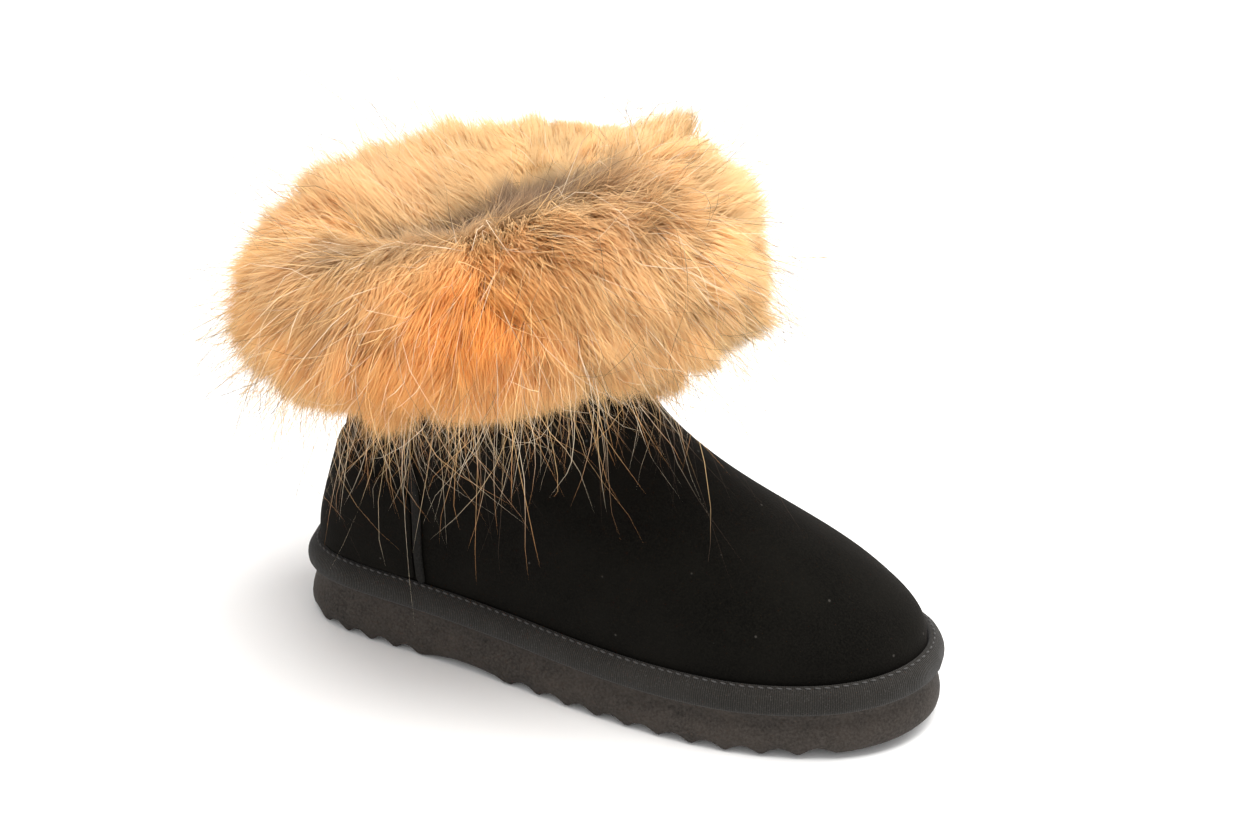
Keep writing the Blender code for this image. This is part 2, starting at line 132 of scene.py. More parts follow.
sky = bpy.data.worlds.new("studio")
sky.use_nodes = True
sky.node_tree.nodes["Background"].inputs["Color"].default_value = (1.0, 1.0, 1.0, 1.0)
sky.node_tree.nodes["Background"].inputs["Strength"].default_value = SKY_STRENGTH
bpy.context.scene.world = sky
lamp("key", (0.25, -0.12, 1.55), (0.08, 0.0, 0.10), size=0.9, power=22.0, colour=(1.0, 0.98, 0.95))
lamp("rim", (0.75, 0.70, 0.90), (0.08, 0.0, 0.12), size=0.8, power=9.0, colour=(1.0, 0.99, 0.97))
bpy.context.scene.view_settings.view_transform = "Standard"

# %% [markdown]
# ## Helpers for materials
#
# Every finish is a Principled shader with a few nodes in front of it. The helpers below add a node,
# set its sockets and wire it, so that each material reads as a short list.

# %% Nodes
SHEEN_ROUGHNESS = 0.5


def new_material(name, roughness, specular=0.3, sheen=0.0, sheen_tint=(1, 1, 1)):
    """A material with its plain numbers set, and its shader."""
    made = bpy.data.materials.new(name)
    made.use_nodes = True
    shader = made.node_tree.nodes["Principled BSDF"]
    shader.inputs["Roughness"].default_value = roughness
    shader.inputs["Specular IOR Level"].default_value = specular
    shader.inputs["Sheen Weight"].default_value = sheen
    shader.inputs["Sheen Roughness"].default_value = SHEEN_ROUGHNESS
    shader.inputs["Sheen Tint"].default_value = (*sheen_tint, 1.0)
    return made, shader


def node(made, kind, links=(), **values):
    """A node with its settings and sockets filled in. links is (socket name, output) pairs, and a
    value is a setting of the node or, if it has none of that name, a socket."""
    new = made.node_tree.nodes.new(kind)
    for key, value in values.items():
        if hasattr(new, key):
            setattr(new, key, value)
        else:
            new.inputs[key.replace("_", " ").title()].default_value = value
    for socket, output in links:
        made.node_tree.links.new(output, new.inputs[socket])
    return new


def object_place(made):
    """The Object coordinates, which a finished piece shares with the frame."""
    return node(made, "ShaderNodeTexCoord").outputs["Object"]


def blend(made, factor, low, high, kind="MIX"):
    """Two colours or colour outputs, mixed by a factor, which is an output or a number."""
    mix = node(made, "ShaderNodeMix", data_type="RGBA", blend_type=kind)
    if isinstance(factor, float):
        mix.inputs["Factor"].default_value = factor
    else:
        made.node_tree.links.new(factor, mix.inputs["Factor"])
    for socket, value in (("A", low), ("B", high)):
        target = [s for s in mix.inputs if s.name == socket and s.type == "RGBA"][0]
        if isinstance(value, tuple):
            target.default_value = (*value, 1.0)
        else:
            made.node_tree.links.new(value, target)
    return [s for s in mix.outputs if s.type == "RGBA"][0]


def stretch(made, value, low, high, to_low=0.0, to_high=1.0):
    """A number stretched from one range to another, and held at its ends."""
    ends = {"from_min": low, "from_max": high, "to_min": to_low, "to_max": to_high}
    return node(made, "ShaderNodeMapRange", [("Value", value)], **ends).outputs["Result"]


def noise(made, place, scale, detail=3.0, roughness=0.55):
    """Cloudy noise, 0 to 1."""
    sizes = {"scale": scale, "detail": detail, "roughness": roughness}
    return node(made, "ShaderNodeTexNoise", [("Vector", place)], **sizes).outputs["Fac"]


def bump(made, shader, height, distance, strength=1.0, under=None):
    """Wires a height to the shader's normal, over another bump if one is given."""
    links = [("Height", height)]
    if under is not None:
        links.append(("Normal", under))
    bumped = node(made, "ShaderNodeBump", links, distance=distance, strength=strength)
    made.node_tree.links.new(bumped.outputs["Normal"], shader.inputs["Normal"])
    return bumped.outputs["Normal"]


def paint(made, shader, colour):
    """Wires a colour to the shader."""
    made.node_tree.links.new(colour, shader.inputs["Base Color"])


# %% [markdown]
# ## The suede
#
# Suede has a short nap that swallows light, so it is almost black face on and a little paler at
# grazing angles: that is what sheen is for. Cloudy noise gives the brushed patches, and fine noise
# gives the nap. A few dust specks lie on it.

# %% Suede
SUEDE_DARK = (0.0016, 0.0015, 0.0012)
SUEDE_PALE = (0.0046, 0.0042, 0.0033)
SEAM_DARK = (0.0060, 0.0059, 0.0054)
SEAM_PALE = (0.0130, 0.0125, 0.0115)
SUEDE_DUST = (0.040, 0.037, 0.033)
SUEDE_SHEEN = (0.62, 0.55, 0.50)
NAP_LIGHTER = 1.5
DUST_SCALE = 95.0


def suede(name, dark, pale):
    """Black suede with brushed patches, a fine nap and specks of dust."""
    made, shader = new_material(name, roughness=0.95, specular=0.05, sheen=0.035, sheen_tint=SUEDE_SHEEN)
    place = object_place(made)
    brushed = stretch(made, noise(made, place, scale=34.0, detail=5.0, roughness=0.6), 0.36, 0.70)
    nap = noise(made, place, scale=1400.0, detail=2.0, roughness=0.6)
    base = blend(made, brushed, dark, pale)
    grain = blend(made, stretch(made, nap, 0.35, 0.75), base, tuple(NAP_LIGHTER * c for c in pale))
    speck = node(made, "ShaderNodeTexVoronoi", [("Vector", place)], scale=DUST_SCALE)
    dust = stretch(made, speck.outputs["Distance"], 0.035, 0.060, to_low=1.0, to_high=0.0)
    paint(made, shader, blend(made, dust, grain, SUEDE_DUST))
    soft = bump(made, shader, noise(made, place, scale=60.0), distance=0.0012, strength=0.35)
    bump(made, shader, nap, distance=0.00035, strength=0.8, under=soft)
    return made


black_suede = suede("black_suede_nap", SUEDE_DARK, SUEDE_PALE)
seam_suede = suede("seam_suede_nap", SEAM_DARK, SEAM_PALE)
print("suede", len(black_suede.node_tree.nodes), "nodes")


# %% [markdown]
# ## Smoothing the solids of the upper
#
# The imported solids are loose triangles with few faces. A copy of one is merged, turned back into
# quads and subdivided, which keeps its shape and takes the facets away.

# %% A smooth copy of a solid
WELD = 0.00002
SMOOTH_LEVELS = 2


def open_mesh(made):
    """Links a piece to the scene, selects it alone and opens its whole mesh for editing."""
    bpy.context.scene.collection.objects.link(made)
    bpy.ops.object.select_all(action="DESELECT")
    made.select_set(True)
    bpy.context.view_layer.objects.active = made
    bpy.ops.object.mode_set(mode="EDIT")
    bpy.ops.mesh.select_all(action="SELECT")


def smooth_copy(name, node_name, finish):
    """A merged, subdivided copy of a solid, with its own finish, that stands for the solid."""
    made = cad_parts[node_name].copy()
    made.data = made.data.copy()
    made.name = name
    made.parent = None
    open_mesh(made)
    bpy.ops.mesh.remove_doubles(threshold=WELD)
    bpy.ops.mesh.tris_convert_to_quads(face_threshold=0.9, shape_threshold=1.2)
    bpy.ops.mesh.normals_make_consistent(inside=False)
    bpy.ops.object.mode_set(mode="OBJECT")
    made.data.materials.clear()
    made.data.materials.append(finish)
    smoothing = made.modifiers.new("smooth", "SUBSURF")
    smoothing.levels = SMOOTH_LEVELS
    smoothing.render_levels = SMOOTH_LEVELS
    smoothing.boundary_smooth = "PRESERVE_CORNERS"
    bpy.ops.object.modifier_apply(modifier=smoothing.name)
    bpy.ops.object.shade_smooth()
    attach(made, "root")
    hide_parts(node_name)
    print(name, len(made.data.polygons), "faces")
    return made


upper = smooth_copy("suede_upper", "upper", black_suede)
counter = smooth_copy("suede_heel_counter", "heel_counter", black_suede)
seam_near = smooth_copy("outer_side_seam", "side_seam_outer", seam_suede)
seam_far = smooth_copy("inner_side_seam", "side_seam_inner", seam_suede)

# %% [markdown]
# ## The fleece inside
#
# Sheepskin is suede outside and fleece inside, one skin. The inner faces of the upper are found by a
# ray along each face's normal, which meets the wall across. They get a curly fleece finish, and so
# does the footbed.

# %% Fleece
FLEECE_SHADED_HOLLOW = (0.340, 0.210, 0.110)
FLEECE_TIP = (0.700, 0.480, 0.280)
FLEECE_WORN = (0.560, 0.370, 0.210)
FLEECE_SHEEN = (1.0, 0.88, 0.72)
RAY_LIFT = 0.0005
ACROSS_THE_BOOT = 0.25


def fleece_finish(name):
    """Short curly wool, cream on the curls, with painted shade in tan in the hollows between them."""
    made, shader = new_material(name, roughness=0.95, specular=0.05, sheen=0.15, sheen_tint=FLEECE_SHEEN)
    place = object_place(made)
    curls = noise(made, place, scale=330.0, detail=4.0, roughness=0.65)
    # The hollows between the curls, low in the same noise as the bump, are painted tan: painted shade.
    base = blend(made, stretch(made, curls, 0.32, 0.68), FLEECE_SHADED_HOLLOW, FLEECE_TIP)
    worn = stretch(made, noise(made, place, scale=22.0), 0.40, 0.70)
    paint(made, shader, blend(made, worn, base, FLEECE_WORN))
    bump(made, shader, curls, distance=0.0022)
    return made


def line_inside(made, finish, reach):
    """Gives the faces that look at another wall of the same piece a second finish."""
    mesh = made.data
    tree = BVHTree.FromPolygons([v.co for v in mesh.vertices], [p.vertices for p in mesh.polygons])
    mesh.materials.append(finish)
    inner = np.zeros(len(mesh.polygons), dtype=np.int32)
    for face in mesh.polygons:
        start = face.center + face.normal * RAY_LIFT
        inner[face.index] = tree.ray_cast(start, face.normal, reach)[0] is not None
    mesh.polygons.foreach_set("material_index", inner)
    print(made.name, int(inner.sum()), "inner faces")


fleece = fleece_finish("tan_fleece")
line_inside(upper, fleece, ACROSS_THE_BOOT)
footbed = smooth_copy("fleece_footbed", "insole", fleece)

# %% [markdown]
# ## The sole's outline
#
# The sole and its binding follow one outline. Its half widths are given at shares of the length, and
# a smooth curve runs through them. Angles go once round the sole from the toe, by way of the outer
# side. These are the same sizes as the solids have.

# %% The outline
SOLE_LENGTH = 0.275
BALL_WIDTH = 0.102
HEEL_SETBACK = 0.040
TOE_SHIFT = 0.002
HEEL_THICKNESS = 0.022
FOREPART_THICKNESS = 0.018
TOE_SPRING = 0.005
SPRING_START = 0.74
FEATHER_INSET = 0.005
OUTLINE = np.array(
    (
        # along, outer, inner
        (0.0146, 0.206, 0.206),
        (0.051, 0.320, 0.305),
        (0.130, 0.388, 0.367),
        (0.255, 0.414, 0.358),
        (0.400, 0.452, 0.358),
        (0.530, 0.500, 0.390),
        (0.640, 0.522, 0.450),
        (0.745, 0.512, 0.484),
        (0.845, 0.450, 0.436),
        (0.925, 0.346, 0.340),
        (0.975, 0.212, 0.206),
    )
)
HEEL_ROUNDNESS = 0.90
TOE_ROUNDNESS = 0.68
WEDGE_START = 0.15
WEDGE_END = 0.68
SLOPE_STEP = 0.01


def curve_between(values, slopes, i, step, t):
    """A smooth curve from the values at i to the next ones, a step away, at shares t of the step."""
    low, high = 2 * t**3 - 3 * t**2 + 1, 3 * t**2 - 2 * t**3
    leave, arrive = step * (t**3 - 2 * t**2 + t), step * (t**3 - t**2)
    if values.ndim == 2:
        low, high, leave, arrive = (v[..., None] for v in (low, high, leave, arrive))
    return low * values[i] + high * values[i + 1] + leave * slopes[i] + arrive * slopes[i + 1]


def smooth_read(keys, values, at, period):
    """Reads a smooth periodic curve through the values at the keys."""
    keys = np.concatenate((keys[-2:] - period, keys, keys[:2] + period))
    values = np.concatenate((values[-2:], values, values[:2]))
    at = np.mod(at, period)
    i = np.clip(np.searchsorted(keys, at, side="right") - 1, 0, len(keys) - 2)
    step = keys[i + 1] - keys[i]
    return curve_between(values, np.gradient(values, keys, axis=0), i, step, (at - keys[i]) / step)


def outline_curve():
    """Angles and fullnesses that the outline is read from."""
    along, outer, inner = OUTLINE.T
    round_share = 2 * np.sqrt(along * (1 - along))
    turn = np.arccos(2 * along - 1)
    keys = np.concatenate(([0.0], turn[::-1], [math.pi], 2 * math.pi - turn))
    fullness = np.concatenate(
        ([TOE_ROUNDNESS], (outer / round_share)[::-1], [HEEL_ROUNDNESS], inner / round_share)
    )
    return keys, fullness


OUTLINE_KEYS, OUTLINE_FULLNESS = outline_curve()


def outline(angle, inset=0.0):
    """Points of the sole's outline at angles round it, moved inwards by inset. Arrays are fine."""

    def edge(a):
        along = (1 + np.cos(a)) / 2
        full = smooth_read(OUTLINE_KEYS, OUTLINE_FULLNESS, a, 2 * math.pi)
        return SOLE_LENGTH * along - HEEL_SETBACK, TOE_SHIFT * along - BALL_WIDTH * full * np.sin(a)

    x, y = edge(angle)
    (ax, ay), (bx, by) = edge(angle - SLOPE_STEP), edge(angle + SLOPE_STEP)
    length = np.hypot(bx - ax, by - ay)
    return x + inset * (by - ay) / length, y - inset * (bx - ax) / length


def ease(low, high, at):
    """0 below low, 1 above high, and a smooth step between."""
    t = np.clip((at - low) / (high - low), 0.0, 1.0)
    return t * t * (3 - 2 * t)


def spring(x):
    """How far the sole lifts towards the toe."""
    share = (x + HEEL_SETBACK) / SOLE_LENGTH
    return TOE_SPRING * np.maximum(0.0, (share - SPRING_START) / (1 - SPRING_START)) ** 2


def sole_top(x):
    """Height of the sole's upper face."""
    share = (x + HEEL_SETBACK) / SOLE_LENGTH
    wedge = (HEEL_THICKNESS - FOREPART_THICKNESS) * (1 - ease(WEDGE_START, WEDGE_END, share))
    return FOREPART_THICKNESS + wedge + spring(x)


perimeter = np.hypot(*np.diff(np.array(outline(np.linspace(0, 2 * math.pi, 721))), axis=1)).sum()
print("round the sole", round(perimeter * 1000), "mm")

# %% [markdown]
# ## The foam sole
#
# The real sole is moulded foam. Its tread is a row of shallow notches with sharp tips between them,
# cut straight across, with a smooth hollow under the arch. Each column of the side wall stands on the
# tread's height at its place, and strips across close the bottom, so that the notches show at the
# edge as they do on the real sole.

# %% The tread's profile
# Start, pitch and count of the notches
HEEL_TREAD = (-0.0343, 0.0124, 5)
BALL_TREAD = (0.0722, 0.0138, 10)
NOTCH_DEPTH = 0.0028
TIP_WIDTH = 0.0012
# A notch: shares of its pitch and of its depth. It rises quickly and falls slowly
NOTCH = ((0.0, 0.0), (0.22, 0.72), (0.42, 1.0), (0.60, 0.86))
ARCH_DEPTH = 0.0030
# The hollow's two ends: distances from each, and shares of its depth
ARCH_HEELWARD = ((0.001, 0.0), (0.007, 0.55), (0.016, 1.0))
ARCH_TOEWARD = ((0.016, 1.0), (0.005, 0.62), (0.0, 0.0))
ARCH = (HEEL_TREAD[0] + HEEL_TREAD[1] * HEEL_TREAD[2], BALL_TREAD[0] - 0.003)
TREAD_ENDS = (-0.045, 0.24)


def notches(first, pitch, count):
    """Places along the sole and heights of a row of notches, each with its tip at the end."""
    keys = []
    for start in (first + pitch * k for k in range(count)):
        keys += [(start + share * pitch, rise * NOTCH_DEPTH) for share, rise in NOTCH]
        keys.append((start + pitch - TIP_WIDTH, 0.0))
    return keys


TREAD = np.array(
    [(TREAD_ENDS[0], 0.0)]
    + notches(*HEEL_TREAD)
    + [(ARCH[0] + along, rise * ARCH_DEPTH) for along, rise in ARCH_HEELWARD]
    + [(ARCH[1] - along, rise * ARCH_DEPTH) for along, rise in ARCH_TOEWARD]
    + notches(*BALL_TREAD)
    + [(TREAD_ENDS[1], 0.0)]
)


def tread_height(x):
    """Height of the notched bottom at a place along the sole."""
    return spring(x) + np.interp(x, TREAD[:, 0], TREAD[:, 1])


def band_faces(rows, columns, closed=False):
    """Faces between rows of points that each run once round. closed joins the last row to the first."""
    faces = []
    for r in range(rows if closed else rows - 1):
        above = (r + 1) % rows
        for i in range(columns):
            j = (i + 1) % columns
            faces.append((r * columns + i, r * columns + j, above * columns + j, above * columns + i))
    return faces


def mesh_piece(name, points, faces, finish, smooth_angle):
    """A piece from points and faces, with outward normals and soft shading."""
    mesh = bpy.data.meshes.new(name)
    mesh.from_pydata([tuple(p) for p in points], [], faces)
    made = bpy.data.objects.new(name, mesh)
    open_mesh(made)
    bpy.ops.mesh.normals_make_consistent(inside=False)
    bpy.ops.object.mode_set(mode="OBJECT")
    mesh.materials.append(finish)
    bpy.ops.object.shade_smooth_by_angle(angle=smooth_angle)
    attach(made, "root")
    print(name, len(mesh.polygons), "faces")
    return made


print("tread", len(TREAD), "corners")

# %% Foam
FOAM_DARK = (0.0090, 0.0072, 0.0055)
FOAM_PALE = (0.0330, 0.0255, 0.0200)
FOAM_GRAIN = (0.0560, 0.0470, 0.0410)
FOAM_SCUFF = (0.13, 0.115, 0.105)


def foam():
    """Dark, matt moulded foam, mottled brown, with a fine grain and a few pale scuffs."""
    made, shader = new_material("sole_foam_grain", roughness=0.78, specular=0.22)
    place = object_place(made)
    mottle = stretch(made, noise(made, place, scale=55.0, detail=6.0, roughness=0.65), 0.34, 0.68)
    grain = noise(made, place, scale=900.0, roughness=0.6)
    base = blend(made, mottle, FOAM_DARK, FOAM_PALE)
    grained = blend(made, stretch(made, grain, 0.30, 0.80), base, FOAM_GRAIN)
    scuff = stretch(made, noise(made, place, scale=150.0, detail=2.0, roughness=0.9), 0.745, 0.80)
    paint(made, shader, blend(made, scuff, grained, FOAM_SCUFF))
    soft = bump(made, shader, noise(made, place, scale=120.0), distance=0.0007, strength=0.45)
    bump(made, shader, grain, distance=0.00022, strength=0.7, under=soft)
    return made


# %% The sole
WALL_COLUMNS = 121
CORNER_SHARES = (0.01, 0.985)
HEEL_PAD = (-0.022, 0.026)
BALL_PAD = (0.099, 0.153)
PAD_HALF = 0.014
PAD_EDGE = 0.0004
PAD_SHARE = 0.55
WALL_PROFILE = (
    # inset from the outline, share of the height
    (0.0010, 0.000),
    (0.0001, 0.025),
    (-0.0008, 0.090),
    (-0.0012, 0.200),
    (-0.0012, 0.340),
    (-0.0007, 0.480),
    (0.0002, 0.620),
    (0.0011, 0.750),
    (0.0016, 0.850),
    (0.0014, 0.940),
    (0.0009, 1.000),
)


def build_sole():
    """The notched sole: a wall round the outline, strips across below and above."""
    even = np.linspace(0, math.pi, WALL_COLUMNS)
    corners = (TREAD[1:-1, 0] + HEEL_SETBACK) / SOLE_LENGTH
    corners = corners[(corners > CORNER_SHARES[0]) & (corners < CORNER_SHARES[1])]
    half = np.unique(np.round(np.concatenate((even, np.arccos(2 * corners - 1))), 6))
    angles = np.concatenate((half, 2 * math.pi - half[-2:0:-1]))
    count = len(angles)
    at = outline(angles)[0]
    low, top = tread_height(at), sole_top(at)
    rows = []
    for inset, share in WALL_PROFILE:
        x, y = outline(angles, inset)
        rows.append(np.column_stack((x, y, low + (top - low) * share)))
    points = np.vstack(rows)
    faces = band_faces(len(rows), count)
    extra = []
    across = []
    for i in range(1, len(half) - 1):
        outer, inner = rows[0][i], rows[0][count - i]
        in_pad = any(start < outer[0] < end for start, end in (HEEL_PAD, BALL_PAD))
        reach = min(PAD_HALF, PAD_SHARE * abs(outer[1]), PAD_SHARE * abs(inner[1]))
        wide = reach + PAD_EDGE
        line = [i]
        for y, lifted in ((-wide, True), (-reach, False), (reach, False), (wide, True)):
            z = outer[2] if lifted or not in_pad else spring(outer[0])
            line.append(len(points) + len(extra))
            extra.append((outer[0], y, z))
        across.append(line + [count - i])
    for near, far in zip(across, across[1:]):
        for k in range(len(near) - 1):
            faces.append((near[k], near[k + 1], far[k + 1], far[k]))
    faces.append((0, *across[0]))
    faces.append((len(half) - 1, *across[-1][::-1]))
    lid = (len(rows) - 1) * count
    for i in range(1, len(half) - 2):
        faces.append((lid + i, lid + i + 1, lid + count - i - 1, lid + count - i))
    faces.append((lid, lid + 1, lid + count - 1))
    faces.append((lid + len(half) - 2, lid + len(half) - 1, lid + len(half)))
    return mesh_piece("foam_sole", np.vstack((points, extra)), faces, foam(), smooth_angle=0.5)


sole = build_sole()
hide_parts("outsole")

# %% [markdown]
# ## The ribbed binding
#
# The rand is a ribbon with ribs across it, folded over a cord and sewn along its top edge. The ribs
# follow the binding, so the piece carries its own map: one way runs round the sole in metres, the
# other up the binding. The ribs are a bump on that map.

# %% Ribbed cloth
RIB_PITCH = 0.00085
CLOTH_DARK = (0.0068, 0.0062, 0.0052)
CLOTH_PALE = (0.0150, 0.0136, 0.0116)
CLOTH_RIB_HIGHLIGHT = (0.0255, 0.0230, 0.0198)
CLOTH_FUZZ = (0.070, 0.066, 0.063)
CLOTH_SHEEN = (0.7, 0.7, 0.72)


def ribbed_cloth():
    """Dark ribbed ribbon: ribs across it with a painted highlight on each crest, and a fuzzy mottle with
    pale fuzz.
    """
    made, shader = new_material(
        "ribbed_ribbon", roughness=0.88, specular=0.15, sheen=0.12, sheen_tint=CLOTH_SHEEN
    )
    place = object_place(made)
    run = node(made, "ShaderNodeUVMap", uv_map="run").outputs["UV"]
    parts = node(made, "ShaderNodeSeparateXYZ", [("Vector", run)])
    turn = node(made, "ShaderNodeMath", [("Value", parts.outputs["X"])], operation="MULTIPLY")
    turn.inputs[1].default_value = 2 * math.pi / RIB_PITCH
    wave = node(made, "ShaderNodeMath", [("Value", turn.outputs["Value"])], operation="SINE")
    rib = stretch(made, wave.outputs["Value"], -1.0, 1.0)
    mottle = stretch(made, noise(made, place, scale=70.0, detail=5.0, roughness=0.65), 0.35, 0.70)
    # The crest of each rib is painted paler than its groove: a painted highlight.
    ribbed = blend(made, rib, blend(made, mottle, CLOTH_DARK, CLOTH_PALE), CLOTH_RIB_HIGHLIGHT)
    fuzz = noise(made, place, scale=1700.0, detail=2.0, roughness=0.7)
    paint(made, shader, blend(made, stretch(made, fuzz, 0.55, 0.85), ribbed, CLOTH_FUZZ))
    ribs = bump(made, shader, rib, distance=0.00022, strength=0.7)
    bump(made, shader, fuzz, distance=0.00018, strength=0.6, under=ribs)
    return made


# %% The binding
RAND_HEIGHT = 0.0108
RAND_COLUMNS = 360
RAND_WOBBLE = 0.00022
RAND_MAP_HEIGHT = 0.03
CLEAR = 0.0003
RAND_INNER = FEATHER_INSET - CLEAR
RAND_PROFILE = (
    # inset, share of the height
    (RAND_INNER, 0.00),
    (0.0016, 0.00),
    (0.0000, 0.02),
    (-0.0010, 0.07),
    (-0.0016, 0.16),
    (-0.0018, 0.28),
    (-0.0018, 0.42),
    (-0.0016, 0.55),
    (-0.0011, 0.68),
    (-0.0003, 0.80),
    (0.0009, 0.90),
    (0.0022, 0.965),
    (0.0034, 1.00),
    (0.0041, 1.00),
    (0.0045, 0.97),
    (RAND_INNER, 0.90),
)


def build_binding():
    """The rounded ribbon round the foot of the upper, standing on the sole."""
    angles = np.linspace(0, 2 * math.pi, RAND_COLUMNS, endpoint=False)
    x0, y0 = outline(angles)
    step = np.hypot(np.diff(x0, append=x0[:1]), np.diff(y0, append=y0[:1]))
    run = np.concatenate(([0.0], np.cumsum(step)))
    base = sole_top(x0) + CLEAR
    wobble = RAND_WOBBLE * np.sin(run[:-1] * 310.0) * np.sin(run[:-1] * 83.0 + 1.0)
    rows = []
    for inset, share in RAND_PROFILE:
        x, y = outline(angles, inset + wobble * (0.1 < share < 0.9))
        rows.append(np.column_stack((x, y, base + share * RAND_HEIGHT)))
    count, levels = len(angles), len(rows)
    faces = band_faces(levels, count, closed=True)
    made = mesh_piece("ribbed_binding", np.vstack(rows), faces, ribbed_cloth(), smooth_angle=1.2)
    layer = made.data.uv_layers.new(name="run")
    for face in made.data.polygons:
        columns = [made.data.loops[k].vertex_index % count for k in face.loop_indices]
        wraps = 0 in columns and count - 1 in columns
        for k, column in zip(face.loop_indices, columns):
            share = (made.data.loops[k].vertex_index // count) / levels
            along = run[count] if wraps and column == 0 else run[column]
            layer.data[k].uv = (along, share * RAND_MAP_HEIGHT)
    return made


binding = build_binding()
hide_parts("rand")

# %% [markdown]
# ## The stitches along the binding
#
# One row of thread holds the binding's top edge to the suede. One stitch is modelled as a small bent
# capsule and repeated round the edge, each copy turned to the edge's direction.

# %% Stitches
STITCH_PITCH = 0.0036
STITCH_LENGTH = 0.0025
STITCH_THICK = 0.00034
STITCH_BOW = 0.7
STITCH_SINK = 0.25
STITCH_INSET = 0.0026
STITCH_RISE = 0.985
STITCH_TILT = np.array((0.0, 0.0, 0.0002))
STITCH_SIDES = 6
STITCH_SLICES = 7
EDGE_POINTS = 720
LOOK_AHEAD = 0.001
INSIDE_THE_BOOT = (0.1, 0.0, 0.0)
THREAD_GREY = (0.045, 0.043, 0.042)
THREAD_SHEEN = (0.8, 0.8, 0.8)
THREAD_LIGHTER = 1.6


def thread(name, colour):
    """Matt sewing thread with a faint sheen."""
    made, shader = new_material(name, roughness=0.7, specular=0.25, sheen=0.15, sheen_tint=THREAD_SHEEN)
    twist = noise(made, object_place(made), scale=2600.0, detail=1.0)
    pale = tuple(THREAD_LIGHTER * c for c in colour)
    paint(made, shader, blend(made, stretch(made, twist, 0.35, 0.7), colour, pale))
    return made


def stitch_row(name, path, ups, length, thick, finish):
    """A joined mesh of stitches: one bent capsule for each place and direction on the path."""
    sides, slices = STITCH_SIDES, STITCH_SLICES
    shape = []
    for k in range(slices):
        t = k / (slices - 1)
        width = thick * math.sqrt(max(0.04, 1 - (2 * t - 1) ** 4))
        lift = thick * STITCH_BOW * math.sin(math.pi * t) - thick * STITCH_SINK
        for m in range(sides):
            turn = 2 * math.pi * m / sides
            shape.append(((t - 0.5) * length, width * math.cos(turn), lift + width * math.sin(turn)))
    shape = np.array(shape)
    small = band_faces(slices, sides)
    small.append(tuple(range(sides)))
    small.append(tuple((slices - 1) * sides + m for m in reversed(range(sides))))
    points, faces = [], []
    for place, along, up in zip(path[0], path[1], ups):
        along = along / np.linalg.norm(along)
        side = np.cross(up, along)
        side = side / np.linalg.norm(side)
        over = np.cross(along, side)
        start = len(points)
        points.extend(place + shape @ np.array((along, side, over)))
        faces.extend(tuple(start + v for v in face) for face in small)
    return mesh_piece(name, points, faces, finish, smooth_angle=1.2)


def even_places(line, pitch):
    """Points and directions at an even pitch along a closed line of points."""
    closed = np.vstack((line, line[:1]))
    step = np.linalg.norm(np.diff(closed, axis=0), axis=1)
    run = np.concatenate(([0.0], np.cumsum(step)))
    count = int(run[-1] / pitch)
    at = np.arange(count) * run[-1] / count
    where = np.column_stack([np.interp(at, run, closed[:, k]) for k in range(3)])
    later = np.mod(at + LOOK_AHEAD, run[-1])
    ahead = np.column_stack([np.interp(later, run, closed[:, k]) for k in range(3)])
    return where, ahead - where


ring = np.linspace(0, 2 * math.pi, EDGE_POINTS, endpoint=False)
edge_x, edge_y = outline(ring, STITCH_INSET)
edge_height = sole_top(outline(ring)[0]) + CLEAR + RAND_HEIGHT * STITCH_RISE
spots, ways = even_places(np.column_stack((edge_x, edge_y, edge_height)), STITCH_PITCH)
outwards = np.cross(ways, (0.0, 0.0, 1.0))
outwards /= np.linalg.norm(outwards, axis=1)[:, None]
outwards *= np.sign((outwards * (spots - INSIDE_THE_BOOT)).sum(1))[:, None]
stitches = stitch_row(
    "binding_stitches",
    (spots, ways + STITCH_TILT),
    outwards * 0.8 + (0.0, 0.0, 0.7),
    STITCH_LENGTH,
    STITCH_THICK,
    thread("grey_thread", THREAD_GREY),
)

# %% [markdown]
# ## The shape under the fur
#
# The fur grows from a band of pelt rolled over the collar. Hair needs a surface to root in and a way
# to lie, so the cuff is first described as a smooth roll: a section, read at every angle round the
# shaft, whose size changes from the back to the instep. The solid upper says where the shaft is.

# %% The roll of the cuff
FUR_REACH = 0.050
FUR_DROP = 0.046
FUR_CROWN = 0.040
FUR_OVERHANG = 0.024
SHAFT_MIDDLE = np.array((0.0432, 0.0005))
SHAFT_HALF = np.array((0.0570, 0.0408))
COLLAR_BACK = 0.1452
COLLAR_FRONT = 0.1714
FUR_SECTION = np.array(
    (
        # reach, up: shares of the cuff's sizes. Inside the throat, reach is a share of the overhang
        (0.06, -0.56),
        (0.34, -0.80),
        (0.68, -0.74),
        (0.88, -0.44),
        (0.95, -0.02),
        (0.86, 0.42),
        (0.62, 0.76),
        (0.28, 0.90),
        (-0.15, 0.84),
        (-0.70, 0.58),
        (-0.88, 0.30),
        (-0.62, 0.06),
    )
)
FUR_ROUND = np.array(
    (
        # turn, reach, drop, crown
        (0.000, 1.04, 0.70, 0.94),
        (0.125, 0.98, 0.74, 0.84),
        (0.250, 0.90, 0.80, 0.76),
        (0.375, 0.92, 0.92, 0.70),
        (0.500, 0.96, 1.00, 0.70),
        (0.625, 0.94, 0.94, 0.88),
        (0.750, 0.88, 0.80, 1.04),
        (0.875, 0.97, 0.74, 1.06),
    )
)
PELT_SHARE = 0.80
PELT_SAG = 0.76
FAR_OVERHANG = 0.15
WALL = 0.0030
COLLAR_EDGE = 0.0020
ROLL_STEP = 0.004
RAY_START = 0.3
SKIN_IF_MISSED = 0.045


